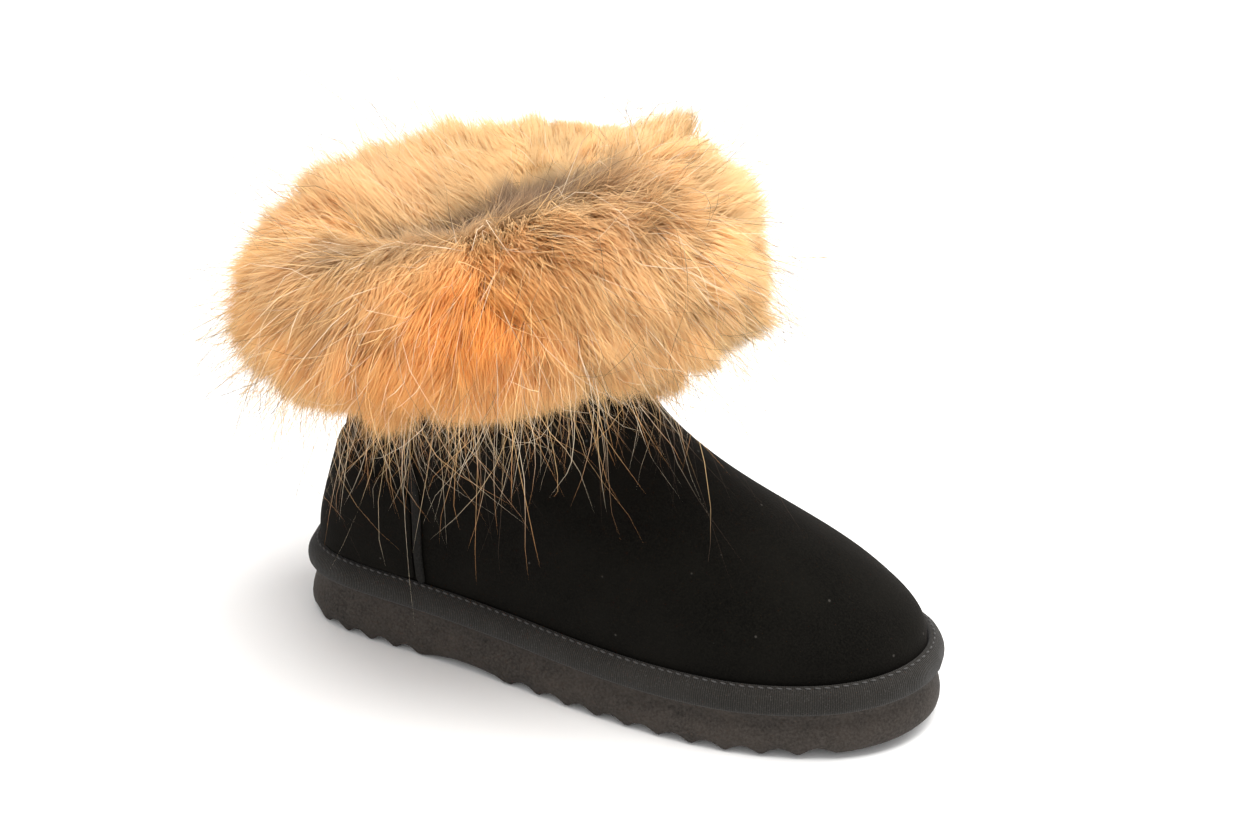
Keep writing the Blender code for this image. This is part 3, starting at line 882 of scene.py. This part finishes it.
def away(angle):
    """Unit level directions straight out of the shaft at angles round it."""
    out = np.stack((SHAFT_HALF[0] * np.cos(angle), -SHAFT_HALF[1] * np.sin(angle)), axis=-1)
    return out / np.linalg.norm(out, axis=-1, keepdims=True)


def collar_height(angle):
    """Height of the slanted collar."""
    return COLLAR_BACK + (COLLAR_FRONT - COLLAR_BACK) * (1 + np.cos(angle)) / 2


def shaft_table(angles, heights):
    """Distances from the shaft's middle to its skin, by rays at the solid upper."""
    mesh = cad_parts["upper"].data
    tree = BVHTree.FromPolygons([v.co for v in mesh.vertices], [p.vertices for p in mesh.polygons])
    found = np.zeros((len(angles), len(heights)))
    for i, angle in enumerate(angles):
        way = away(np.array(angle))
        for j, height in enumerate(heights):
            start = Vector((*(SHAFT_MIDDLE + way * RAY_START), height))
            hit = tree.ray_cast(start, Vector((-way[0], -way[1], 0.0)))[0]
            found[i, j] = RAY_START - (hit - start).length if hit else SKIN_IF_MISSED
    return found


TABLE_ANGLES = np.linspace(0, 2 * math.pi, 97)
TABLE_HEIGHTS = np.linspace(0.085, 0.1445, 18)
SHAFT_TABLE = shaft_table(TABLE_ANGLES, TABLE_HEIGHTS)


def shaft_radius(angle, height):
    """Distance from the shaft's middle to its skin, read from the table."""
    u = np.mod(angle, 2 * math.pi) / (2 * math.pi) * (len(TABLE_ANGLES) - 1)
    v = (height - TABLE_HEIGHTS[0]) / (TABLE_HEIGHTS[1] - TABLE_HEIGHTS[0])
    v = np.clip(v, 0, len(TABLE_HEIGHTS) - 1.001)
    i, j = u.astype(int), v.astype(int)
    fu, fv = u - i, v - j
    low = SHAFT_TABLE[i, j] * (1 - fu) + SHAFT_TABLE[i + 1, j] * fu
    high = SHAFT_TABLE[i, j + 1] * (1 - fu) + SHAFT_TABLE[i + 1, j + 1] * fu
    return low * (1 - fv) + high * fv


def read_section(share):
    """Reach and rise of the section at shares along it."""
    keys = np.linspace(0, 1, len(FUR_SECTION))
    slopes = np.gradient(FUR_SECTION, keys, axis=0)
    share = np.clip(share, 0, 1)
    i = np.clip(np.searchsorted(keys, share, side="right") - 1, 0, len(keys) - 2)
    return curve_between(FUR_SECTION, slopes, i, keys[1], (share - keys[i]) / keys[1])


def fur_sizes(angle):
    """Shares of the cuff's reach, drop and crown at angles round it."""
    return smooth_read(FUR_ROUND[:, 0], FUR_ROUND[:, 1:], angle / (2 * math.pi), 1.0)


def place_round(angle, out, height):
    """Points at a distance out from the shaft's skin and at a height."""
    skin = shaft_radius(angle, np.minimum(height, collar_height(angle) - COLLAR_EDGE))
    flat = SHAFT_MIDDLE + away(angle) * (skin + out)[..., None]
    return np.concatenate((flat, height[..., None]), axis=-1)


def pelt(angle, share):
    """Points of the roll that the hair roots in, at angles round it and shares along its section."""
    sizes = fur_sizes(angle)
    reach, up = np.moveaxis(read_section(share), -1, 0)
    lift = np.where(up > 0, up * sizes[..., 2] * FUR_CROWN, up * sizes[..., 1] * FUR_DROP * PELT_SAG)
    inwards = FUR_OVERHANG * (1 + FAR_OVERHANG * np.clip(-np.sin(angle), 0, 1))
    out = np.where(reach > 0, reach * sizes[..., 0] * FUR_REACH * PELT_SHARE, reach * inwards)
    return place_round(angle, out, collar_height(angle) + lift)


def unit(v):
    """Vectors made one long."""
    return v / (np.linalg.norm(v, axis=-1, keepdims=True) + 1e-12)


def pelt_frame(angle, share):
    """Points of the roll and its outward normals."""
    along = pelt(angle, share + ROLL_STEP) - pelt(angle, share - ROLL_STEP)
    around = pelt(angle + ROLL_STEP, share) - pelt(angle - ROLL_STEP, share)
    return pelt(angle, share), unit(np.cross(along, around))


probe = pelt_frame(np.array([math.pi / 2]), np.array([0.4]))
print("near side of the roll", probe[0].round(3).tolist(), probe[1].round(2).tolist())

# %% [markdown]
# ## The colours of the fur
#
# The pelt is golden, with an orange patch in front, paler at the instep's end and browner at the
# heel's. The paler peach at the instep's end is painted light, where the lamp falls strongest. A hair
# is brown at its root and light at its tip, and the darker root also serves as painted shade deep in
# the coat. Along the parting and down in the throat the coat is painted taupe and root brown as
# painted shade, so wherever the coat parts, it shows a dark line. Every piece of fur carries its colour
# as an attribute. The hair's finish reads it and lets part of the light through, so that a lock glows
# from behind. The wool's finish reads it too.

# %% Fur colours
GOLD = np.array((0.98, 0.685, 0.340))
ORANGE = np.array((1.00, 0.510, 0.130))
PEACH = np.array((0.99, 0.755, 0.445))
SAND = np.array((0.97, 0.725, 0.455))
STREAK = np.array((0.70, 0.490, 0.310))
ROOT = np.array((0.200, 0.135, 0.094))
TAUPE = np.array((0.430, 0.300, 0.205))
CREAM = np.array((0.97, 0.840, 0.640))
RUST = np.array((0.72, 0.360, 0.150))
DARK_TIP = np.array((0.080, 0.055, 0.042))
FUR_SHEEN = (1.0, 0.80, 0.55)
LET_THROUGH = 0.45
STRAND_STRETCH = (1500.0, 16.0, 1.0)
STRAND_SHADE = (0.62, 0.58, 0.54)
CLOUD_SIZE = 0.055
CLOUD_STRENGTH = 0.6
CLOUD_SHARE = 0.30
COAT_PATCHES = (
    # colour, strength, middle, size each way
    (SAND, 0.75, (-0.045, 0.040, 0.170), (0.055, 0.055, 0.045)),
    # The two peach spots make the upper instep end paler: painted light where the lamp falls strongest.
    (PEACH, 0.90, (0.115, 0.040, 0.205), (0.075, 0.070, 0.060)),
    (PEACH, 0.55, (0.150, -0.020, 0.165), (0.045, 0.060, 0.045)),
    (ORANGE, 0.95, (0.082, -0.083, 0.174), (0.027, 0.030, 0.026)),
    (ORANGE, 0.45, (0.048, -0.088, 0.138), (0.050, 0.034, 0.028)),
    # The two streak spots and the four thin taupe spots lay a dark band along the parting: painted shade
    # in the slot where the coat parts.
    (STREAK, 0.70, (0.110, -0.020, 0.204), (0.026, 0.022, 0.022)),
    (STREAK, 0.45, (-0.010, -0.068, 0.166), (0.036, 0.030, 0.012)),
    (TAUPE, 0.75, (0.000, -0.056, 0.181), (0.020, 0.020, 0.007)),
    (TAUPE, 0.80, (0.026, -0.052, 0.189), (0.018, 0.020, 0.007)),
    (TAUPE, 0.80, (0.050, -0.044, 0.197), (0.018, 0.020, 0.007)),
    (TAUPE, 0.70, (0.075, -0.032, 0.204), (0.018, 0.020, 0.008)),
)
WAVE_COUNT = 7
WAVE_LEVEL = 3.2


def mixed(first, last, share):
    """The first value turned into the last by a share."""
    return first * (1 - share) + last * share


def hair_finish(name):
    """Hair that takes its colour from the piece's own attribute, and lets light through."""
    made, shader = new_material(name, roughness=0.80, specular=0.06, sheen=0.05, sheen_tint=FUR_SHEEN)
    tone = node(made, "ShaderNodeAttribute", attribute_name="tone").outputs["Color"]
    paint(made, shader, tone)
    through = node(made, "ShaderNodeBsdfTranslucent", [("Color", tone)])
    both = node(made, "ShaderNodeMixShader", fac=LET_THROUGH)
    made.node_tree.links.new(shader.outputs["BSDF"], both.inputs[1])
    made.node_tree.links.new(through.outputs["BSDF"], both.inputs[2])
    out = made.node_tree.nodes["Material Output"]
    made.node_tree.links.new(both.outputs["Shader"], out.inputs["Surface"])
    return made


def wool_finish(name):
    """Woolly undercoat: the same colours, streaked along the hair's way."""
    made, shader = new_material(name, roughness=0.90, specular=0.05, sheen=0.05, sheen_tint=FUR_SHEEN)
    strands = node(made, "ShaderNodeUVMap", uv_map="strands").outputs["UV"]
    drawn = node(made, "ShaderNodeMapping", [("Vector", strands)], scale=STRAND_STRETCH)
    fibre = noise(made, drawn.outputs["Vector"], scale=1.0, detail=2.0, roughness=0.6)
    tone = node(made, "ShaderNodeAttribute", attribute_name="tone").outputs["Color"]
    streaks = blend(made, stretch(made, fibre, 0.30, 0.70), STRAND_SHADE, (1.0, 1.0, 1.0))
    paint(made, shader, blend(made, 1.0, tone, streaks, kind="MULTIPLY"))
    bump(made, shader, fibre, distance=0.0006, strength=0.6)
    return made


hair = hair_finish("fox_hair")
wool = wool_finish("fox_wool")


def waves(points, seed, size):
    """Cheap smooth noise in space, about -1 to 1: a sum of slanted waves."""
    rng = np.random.default_rng(seed)
    total = np.zeros(points.shape[:-1])
    for _ in range(WAVE_COUNT):
        way = unit(rng.normal(size=3))
        turn = 2 * math.pi / size * rng.uniform(0.6, 1.6)
        total += np.sin(points @ way * turn + rng.uniform(0, 2 * math.pi))
    return total / WAVE_LEVEL


def patch(points, middle, size):
    """A soft spot: 1 in its middle, falling to 0 over its size each way."""
    return np.exp(-((((points - np.array(middle)) / np.array(size)) ** 2).sum(-1)))[..., None]


def coat_colour(points):
    """Colour of the coat at places."""
    cloud = np.clip(0.5 + CLOUD_STRENGTH * waves(points, 3, CLOUD_SIZE), 0, 1)[..., None]
    colour = mixed(GOLD, SAND, CLOUD_SHARE * cloud)
    for tone, strength, middle, size in COAT_PATCHES:
        colour = mixed(colour, tone, strength * patch(points, middle, size))
    return colour


def tint(made, colours):
    """Writes a colour for each point of a piece."""
    layer = made.data.color_attributes.new(name="tone", type="FLOAT_COLOR", domain="POINT")
    filled = np.ones((len(colours), 4), dtype=np.float32)
    filled[:, :3] = np.clip(colours, 0, 1)
    layer.data.foreach_set("color", filled.ravel())


print("fur colours", len(COAT_PATCHES), "patches")

# %% [markdown]
# ## The undercoat
#
# Between the hairs one sees the woolly undercoat. It is one closed roll, a little inside the solid
# cuff. It lies against the shaft and laps over the collar's edge. Soft waves raise it, and its finish
# is streaked along the way of the hair, by a map of the piece's own. It is painted a little darker than
# the hair, as painted shade under the hair, and root brown down in the throat and over the collar's
# edge, as painted shade there.

# %% The undercoat
ROLL_ROUNDS = 240
ROLL_RISES = 60
WOOL_WAVE = 0.0010
WOOL_WAVE_SIZE = 0.016
# The undercoat is painted darker than the hair, as painted shade under the hair, and darker still in the
# throat.
WOOL_SHADE = 0.86
DEEP_WOOL_SHADE = 0.75
# Where the throat begins and is full, and how much further down that is on the far and back walls
THROAT = (0.70, 0.84)
THROAT_FAR = (0.08, 0.05)
THROAT_BACK = (0.08, 0.06)
COLLAR_LAP = (
    # out from the shaft, height over the collar
    (-WALL - 0.0010, 0.0006),
    (0.0008, 0.0006),
    (0.0010, -0.0100),
)


def throat_depth(angle, share):
    """How much painted shade the fur gets: 0 on the cuff's outside and 1 down in its throat. The far wall
    stays light further down.
    """
    far = np.clip(-np.sin(angle), 0, 1)
    back = np.clip(-np.cos(angle), 0, 1)
    start, full = (THROAT[k] + THROAT_FAR[k] * far + THROAT_BACK[k] * back for k in (0, 1))
    return ease(start, full, share)


def build_undercoat():
    """The closed woolly roll that the hair stands in."""
    rounds, rises = ROLL_ROUNDS, ROLL_RISES
    turn = np.linspace(0, 2 * math.pi, rounds, endpoint=False)
    angle, share = np.meshgrid(turn, np.linspace(0, 1, rises), indexing="ij")
    points, normal = pelt_frame(angle, share)
    fade = np.clip(share * 6, 0, 1) * np.clip((1 - share) * 5, 0, 1)
    points = points + normal * (WOOL_WAVE * waves(points, 11, WOOL_WAVE_SIZE) * fade)[..., None]
    # Down in the throat, and on the rows that lap over the collar, the wool turns root brown: painted
    # shade.
    dark = throat_depth(angle, share)[..., None]
    colour = mixed(coat_colour(points) * WOOL_SHADE, ROOT * DEEP_WOOL_SHADE, dark)
    collar = collar_height(turn)
    for out, rise in COLLAR_LAP:
        row = place_round(turn, np.full(rounds, out), collar + rise)
        points = np.concatenate((points, row[:, None]), axis=1)
        colour = np.concatenate((colour, np.broadcast_to(ROOT, (rounds, 1, 3))), axis=1)
    rises += len(COLLAR_LAP)
    faces = []
    for i in range(rounds):
        j = (i + 1) % rounds
        for k in range(rises):
            m = (k + 1) % rises
            faces.append((i * rises + k, j * rises + k, j * rises + m, i * rises + m))
    made = mesh_piece("fur_undercoat", points.reshape(-1, 3), faces, wool, smooth_angle=3.0)
    tint(made, colour.reshape(-1, 3))
    spread = made.data.uv_layers.new(name="strands")
    corners = np.empty(len(made.data.loops), dtype=np.int32)
    made.data.loops.foreach_get("vertex_index", corners)
    u, v = corners // rises / rounds, corners % rises / rises
    u[u.reshape(-1, 4).max(axis=1).repeat(4) - u > 0.5] += 1.0
    spread.data.foreach_set("uv", np.stack((u, v), axis=-1).astype(np.float32).ravel())
    return made


undercoat = build_undercoat()
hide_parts("fur_cuff")

# %% [markdown]
# ## How the hair lies
#
# Each hair is a thin ribbon that narrows to a point, rooted in the roll. It leans out of the parting,
# over the crown and down the side, and its weight bends it. Hair gathers twice, in broad tufts and in
# fine locks: every hair is drawn towards the nearest guide on its way to the tip.

# %% The way of a hair
# Degrees below level that hair lies at, by share of the section
FLOW_SHARES = (0.00, 0.18, 0.36, 0.46, 0.55, 0.64, 0.73, 0.82, 1.00)
FLOW_DOWN = (84.0, 78.0, 62.0, 46.0, 28.0, 12.0, -6.0, -34.0, -72.0)
FAR_LEFT = np.array((-0.84, -0.05, 0.54))
FAR_RIGHT = np.array((0.50, 0.15, 0.72))
SHADE_UP = np.array((0.0, 0.0, 0.50))
# Where each part of the roll begins and is full: turns of the angle, shares and places along the boot
FAR_TURN = (-0.45, 0.30)
FAR_SHARES = (0.42, 0.60)
LIP_SHARES = (0.48, 0.66)
LOW_SHARES = (0.20, 0.55)
DEEP_SHARES = (0.86, 0.96)
TOE_TURN = (0.1, 0.7)
PARTS_ALONG = (-0.010, 0.120)
# How hair changes in those parts
TOE_LIFT = 22
END_LEAN = 0.30
FAR_SHORTER = 0.30
MIDDLE_SHORTER = 0.44
LIP_LONGER = 0.20
LIP_SHORTER = 0.34
LIP_STAND = 0.20
DEEP_LOWER = 0.5
DEEP_STRAY = 0.6
DEEP_LIGHTER = 0.6
FAR_LIGHTER = 0.7
END_WEIGHT = 0.6
ROOT_DEPTH = 0.0010
BEND = 3.0
SOFT_ROOM = np.array((0.0175, 0.0145, 0.0150))
TAPER = 2.2
ROOT_WIDTH = 0.75
WIDENING = 3


def scatter(rng, count, weight):
    """Angles and shares spread evenly over the roll's area, times a weight of both."""
    rounds, rises, step = ROLL_ROUNDS, ROLL_RISES, ROLL_STEP
    angles, shares = np.meshgrid(
        (np.arange(rounds) + 0.5) / rounds * 2 * math.pi, (np.arange(rises) + 0.5) / rises, indexing="ij"
    )
    around = np.linalg.norm(pelt(angles + step, shares) - pelt(angles - step, shares), axis=-1)
    along = np.linalg.norm(pelt(angles, shares + step) - pelt(angles, shares - step), axis=-1)
    chance = (around * along * weight(angles, shares)).ravel()
    picked = rng.choice(chance.size, size=count, p=chance / chance.sum())
    angle = angles.ravel()[picked] + (rng.random(count) - 0.5) * 2 * math.pi / rounds
    return angle, np.clip(shares.ravel()[picked] + (rng.random(count) - 0.5) / rises, 0.005, 0.995)


def grow(rng, angle, share, length, pieces, stand, droop, stray, curve=0.10):
    """Paths of hairs from their roots, as (count, pieces + 1, 3) points, and their root normals.
    stand lifts them off the roll, droop bends them down, and stray and curve scatter and curl them."""
    root, normal = pelt_frame(angle, share)
    ends = np.cos(angle)
    far = ease(*FAR_TURN, -np.sin(angle)) * ease(*FAR_SHARES, share)
    deep = ease(*DEEP_SHARES, share)
    toeward = np.clip(ends, 0, 1) * (1 - ease(*LOW_SHARES, share))
    fall = np.radians(np.interp(share, FLOW_SHARES, FLOW_DOWN) - TOE_LIFT * toeward)
    outward = np.concatenate((away(angle), np.zeros((len(angle), 1))), axis=1)
    way = outward * np.cos(fall)[:, None]
    way[:, 2] -= np.sin(fall)
    way[:, 0] += END_LEAN * ends
    left = 1 - ease(*PARTS_ALONG, root[:, 0])
    length = length * (1 - far * (FAR_SHORTER * (1 - left) + MIDDLE_SHORTER * 4 * left * (1 - left)))
    over = FAR_LEFT * left[:, None] + FAR_RIGHT * (1 - left)[:, None]
    way = unit(way) * (1 - far)[:, None] + over * far[:, None]
    lip = ease(*LIP_SHARES, share) * (1 - far)
    high = ease(*TOE_TURN, ends)
    length = length * (1 + lip * (LIP_LONGER * high * (1 - deep) - LIP_SHORTER * (1 - high)))
    way = unit(way) + normal * (stand * (1 - DEEP_LOWER * deep) + LIP_STAND * lip * high)[:, None]
    way = unit(unit(way) + rng.normal(size=way.shape) * (stray * (1 + DEEP_STRAY * deep))[:, None])
    bend = rng.normal(size=way.shape) * curve
    weight = droop * (1.0 - FAR_LIGHTER * far) * (1 - DEEP_LIGHTER * deep)
    weight = weight * (END_WEIGHT + (1 - END_WEIGHT) * (1 - np.abs(ends)))
    path = [root - normal * ROOT_DEPTH]
    for _ in range(pieces):
        path.append(path[-1] + way * (length / pieces)[:, None])
        way = way + bend * (BEND / pieces)
        way[:, 2] -= weight * BEND / pieces
        way = unit(way)
    return np.stack(path, axis=1), normal


def within(points):
    """Keeps hair inside the room round the solids that soft pieces may take."""
    return np.clip(points, np.array(cad_low) - SOFT_ROOM, np.array(cad_high) + SOFT_ROOM)


def ribbons(name, paths, normals, widths, colours, twist, soft):
    """One piece of tapering ribbons. colours is (count, points along, 3). soft blends the shading
    normals from the ribbon's own to the roll's."""
    count, points = paths.shape[:2]
    pieces = points - 1
    rng = np.random.default_rng(len(name))
    run = unit(np.gradient(paths, axis=1))
    side = unit(np.cross(run, normals[:, None, :]))
    flat = np.cross(side, run)
    turn = rng.normal(size=count)[:, None, None] * twist
    side, flat = side * np.cos(turn) + flat * np.sin(turn), flat * np.cos(turn) - side * np.sin(turn)
    t = np.linspace(0, 1, points)[:-1]
    swell = ROOT_WIDTH + (1 - ROOT_WIDTH) * np.minimum(1, t * WIDENING)
    half = (widths[:, None] * 0.5 * (1 - t**TAPER) * swell)[..., None]
    left, right = paths[:, :-1] - side[:, :-1] * half, paths[:, :-1] + side[:, :-1] * half
    each = 2 * pieces + 1

    def strip(a, b, tip):
        rows = np.empty((count, each, 3))
        rows[:, 0:-1:2], rows[:, 1:-1:2], rows[:, -1] = a, b, tip
        return rows.reshape(-1, 3)

    corners = []
    for k in range(pieces - 1):
        corners += [(2 * k, 2 * k + 1, 2 * k + 3), (2 * k, 2 * k + 3, 2 * k + 2)]
    corners.append((2 * pieces - 2, 2 * pieces - 1, 2 * pieces))
    loops = (np.array(corners)[None] + (np.arange(count) * each)[:, None, None]).reshape(-1)
    mesh = bpy.data.meshes.new(name)
    mesh.vertices.add(count * each)
    mesh.vertices.foreach_set("co", within(strip(left, right, paths[:, -1])).astype(np.float32).ravel())
    mesh.loops.add(len(loops))
    mesh.loops.foreach_set("vertex_index", loops.astype(np.int32))
    mesh.polygons.add(len(loops) // 3)
    mesh.polygons.foreach_set("loop_start", np.arange(0, len(loops), 3, dtype=np.int32))
    mesh.update(calc_edges=True)
    mesh.polygons.foreach_set("use_smooth", np.ones(len(mesh.polygons), dtype=bool))
    shade = unit(flat * (1 - soft) + normals[:, None, :] * soft + SHADE_UP)
    mesh.normals_split_custom_set_from_vertices(strip(shade[:, :-1], shade[:, :-1], shade[:, -1]))
    made = bpy.data.objects.new(name, mesh)
    bpy.context.scene.collection.objects.link(made)
    mesh.materials.append(hair)
    tint(made, strip(colours[:, :-1], colours[:, :-1], colours[:, -1]))
    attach(made, "root")
    print(name, count, "hairs", len(mesh.polygons), "faces")
    return made


# %% Guides
TUFT_COUNT = 260
LOCK_COUNT = 3600
UNDERFUR_PIECES = 2
UNDERFUR_LENGTH = 0.0225
UNDERFUR_STAND = 0.30
UNDERFUR_DROOP = 0.12
TUFT_LONGER = 1.15
SHADE_SPREAD = 0.065
PULL_POWER = 1.2


def everywhere(_angles, shares):
    """A weight for the whole roll: thinner inside the throat and thicker over the crown."""
    return (1.0 - 0.5 * ease(0.90, 0.98, shares)) * (1.0 + 0.35 * ease(0.42, 0.55, shares))


def guide_set(seed, count, length, spread, stray):
    """Guide hairs: a tree of their roots, their paths, lengths and shades, and a random number."""
    rng = np.random.default_rng(seed)
    angle, share = scatter(rng, count, everywhere)
    own = length * np.exp(rng.normal(size=count) * spread)
    path = grow(rng, angle, share, own, UNDERFUR_PIECES, UNDERFUR_STAND, UNDERFUR_DROOP, stray)[0]
    tree = KDTree(count)
    for i, place in enumerate(path[:, 0]):
        tree.insert(place, i)
    tree.balance()
    return tree, path, own, np.exp(rng.normal(size=count) * SHADE_SPREAD), rng.random(count)


def gather(path, guides, nearest, pull, closing):
    """Draws paths towards their guides, more and more towards the tip."""
    t = np.linspace(0, 1, path.shape[1])[None, :, None]
    guide = guides[nearest]
    offset = (path[:, :1] - guide[:, :1]) * (1 - closing * t)
    return mixed(path, guide + offset, pull * t**PULL_POWER)


tufts = guide_set(101, TUFT_COUNT, UNDERFUR_LENGTH * TUFT_LONGER, spread=0.18, stray=0.26)
locks = guide_set(102, LOCK_COUNT, UNDERFUR_LENGTH, spread=0.12, stray=0.20)
print("guides", TUFT_COUNT, "tufts,", LOCK_COUNT, "locks")

# %% [markdown]
# ## The underfur
#
# The soft mass is very fine, short hair. Two straight pieces a hair are enough, because none of it is
# seen alone. It is laid in four pieces round the boot, which keeps each one a fair size.

# %% Underfur
LENGTH_SHARES = (0.00, 0.12, 0.30, 0.50, 0.82, 0.92, 1.00)
LENGTH_SCALES = (0.30, 0.40, 0.72, 1.00, 1.00, 0.85, 0.45)
LENGTH_SPREAD = 0.20
LOCK_SAY = 0.55
THROAT_SHORTER = 0.60
UNDERFUR_STRAY = 0.26
UNDERFUR_CURVE = 0.16
UNDERFUR_WIDTH = 0.00041
WIDTH_SPREAD = 0.2
STREAK_STRENGTH = 0.25
STREAK_CHANCE = 0.09
THROAT_PAINTED_SHADE = 0.92
ROOT_SHADE = 0.84
THROAT_ROOT_SHADE = 1.2
TIP_START = 0.93
SECTOR_EDGE = 0.02


def sector(middle, half):
    """A weight that is 1 within an angle of a middle, for a piece of the cuff."""

    def weight(angles, shares):
        gap = np.abs((angles - middle + math.pi) % (2 * math.pi) - math.pi)
        return np.clip((half - gap) / SECTOR_EDGE, 0, 1) * everywhere(angles, shares)

    return weight


def underfur(name, seed, count, weight):
    """One piece of underfur over the part of the roll that the weight picks out."""
    rng = np.random.default_rng(seed)
    angle, share = scatter(rng, count, weight)
    roots = pelt(angle, share)
    tuft = np.array([tufts[0].find(p)[1] for p in roots])
    lock = np.array([locks[0].find(p)[1] for p in roots])
    length = LOCK_SAY * locks[2][lock] + (1 - LOCK_SAY) * tufts[2][tuft]
    length = length * np.interp(share, LENGTH_SHARES, LENGTH_SCALES)
    length = length * np.exp(rng.normal(size=count) * LENGTH_SPREAD)
    length = length * (1 - THROAT_SHORTER * ease(0.78, 0.90, share) * ease(-0.3, 0.5, np.sin(angle)))
    growth = (UNDERFUR_PIECES, UNDERFUR_STAND, UNDERFUR_DROOP, UNDERFUR_STRAY, UNDERFUR_CURVE)
    path, normal = grow(rng, angle, share, length, *growth)
    spiky = 0.32 + 0.14 * np.clip(np.cos(angle) - np.sin(angle), 0, 1)[:, None, None]
    path = gather(path, locks[1], lock, pull=0.34, closing=0.70)
    path = gather(path, tufts[1], tuft, pull=spiky, closing=0.60)
    t = np.linspace(0, 1, UNDERFUR_PIECES + 1)[None, :, None]
    coat = coat_colour(path) * np.minimum(tufts[3][tuft] * locks[3][lock], 1.0)[:, None, None]
    coat = mixed(coat, STREAK, STREAK_STRENGTH * (locks[4][lock] < STREAK_CHANCE)[:, None, None])
    # Down in the throat the whole hair turns taupe and its root darker: painted shade, on top of the
    # hair's own brown root.
    throat_shade = throat_depth(angle, share)[:, None, None]
    coat = mixed(coat, TAUPE, THROAT_PAINTED_SHADE * throat_shade)
    rise = np.clip((t - 0.30 * throat_shade) / (0.40 + 0.60 * throat_shade), 0, 1)
    root = mixed(coat * ROOT_SHADE, ROOT * THROAT_ROOT_SHADE, throat_shade)
    colour = mixed(root, coat * (TIP_START + (1 - TIP_START) * t), rise)
    widths = UNDERFUR_WIDTH * np.exp(rng.normal(size=count) * WIDTH_SPREAD)
    return ribbons(name, path, normal, widths, colour, twist=0.35, soft=0.75)


UNDERFUR_COUNT = 49000
for number, (side_name, middle) in enumerate(
    (("outer", math.pi / 2), ("back", math.pi), ("inner", math.pi * 1.5), ("front", 0.0))
):
    underfur(f"underfur_{side_name}", 20 + number, UNDERFUR_COUNT, sector(middle, math.pi / 4))

# %% [markdown]
# ## The guard hairs
#
# Long, stiffer hairs stand out of the soft mass one by one. Some leave the side and the crown, a
# fringe hangs over the suede below the cuff, and wisps leave the two ends. They start cream or gold,
# and stay cream or turn rust. Some have dark tips, more so at the two ends.

# %% Guard hairs
GUARD_PIECES = 6
GUARD_LENGTH = 0.056
GUARD_STAND = 0.42
GUARD_DROOP = 0.20
GUARD_STRAY = 0.24
GUARD_CURL = 0.0028
CREAM_CHANCE = 0.45
RUST_CHANCE = 0.55
CROWN_SHORTER = 0.45


def guards(name, seed, count, length, spread, weight, dark_share, width, curve):
    """One piece of long single hairs."""
    rng = np.random.default_rng(seed)
    angle, share = scatter(rng, count, weight)
    own = length * np.exp(rng.normal(size=count) * spread) * (1 - CROWN_SHORTER * ease(0.74, 0.88, share))
    path, normal = grow(rng, angle, share, own, GUARD_PIECES, GUARD_STAND, GUARD_DROOP, GUARD_STRAY, curve)
    t = np.linspace(0, 1, GUARD_PIECES + 1)[None, :, None]
    curl = rng.normal(size=(count, 1, 3)) * GUARD_CURL * np.sin(t * rng.uniform(2.5, 5.5, (count, 1, 1)))
    path = path + curl * own[:, None, None] / length
    first = np.where((rng.random(count) < CREAM_CHANCE)[:, None, None], CREAM, GOLD)
    last = np.where((rng.random(count) < RUST_CHANCE)[:, None, None], RUST, CREAM * 0.9)
    colour = mixed(first, last, ease(0.40, 0.95, t))
    dark = (rng.random(count) < dark_share * (0.35 + 0.65 * np.abs(np.cos(angle))))[:, None, None]
    colour = mixed(colour, DARK_TIP, dark * np.clip((t - 0.30) / 0.35, 0, 1))
    widths = width * np.exp(rng.normal(size=count) * WIDTH_SPREAD)
    return ribbons(name, path, normal, widths, colour, twist=1.2, soft=0.3)


def over_the_side(_angles, shares):
    """Most guard hairs leave the upper half of the side and the crown."""
    return np.clip((shares - 0.10) / 0.2, 0, 1) * np.clip((0.92 - shares) / 0.2, 0.04, 1)


def low_down(angles, shares):
    """The fringe leaves the lower half of the side, thickest towards the heel."""
    heelward = 1.0 - 0.55 * ease(-0.2, 0.9, np.cos(angles))
    return heelward * np.clip((shares - 0.06) / 0.08, 0, 1) * np.clip((0.44 - shares) / 0.1, 0, 1)


def at_the_ends(angles, shares):
    """Wisps leave the two ends of the cuff and its crown."""
    ends = np.abs(np.cos(angles)) ** 2
    return ends * np.clip((shares - 0.10) / 0.1, 0, 1) * np.clip((0.74 - shares) / 0.1, 0, 1)


for name, seed, full, few, longer, *rest in (
    # name, seed, count, quick count, length, its spread, weight, share with dark tips, width, curve
    ("guard_hair", 40, 2600, 900, 0.86, 0.28, over_the_side, 0.42, 0.00020, 0.20),
    ("guard_fringe", 41, 2000, 500, 0.66, 0.30, low_down, 0.30, 0.00022, 0.30),
    ("guard_wisps", 42, 750, 200, 1.05, 0.25, at_the_ends, 1.40, 0.00017, 0.26),
):
    guards(name, seed, full, GUARD_LENGTH * longer, *rest)
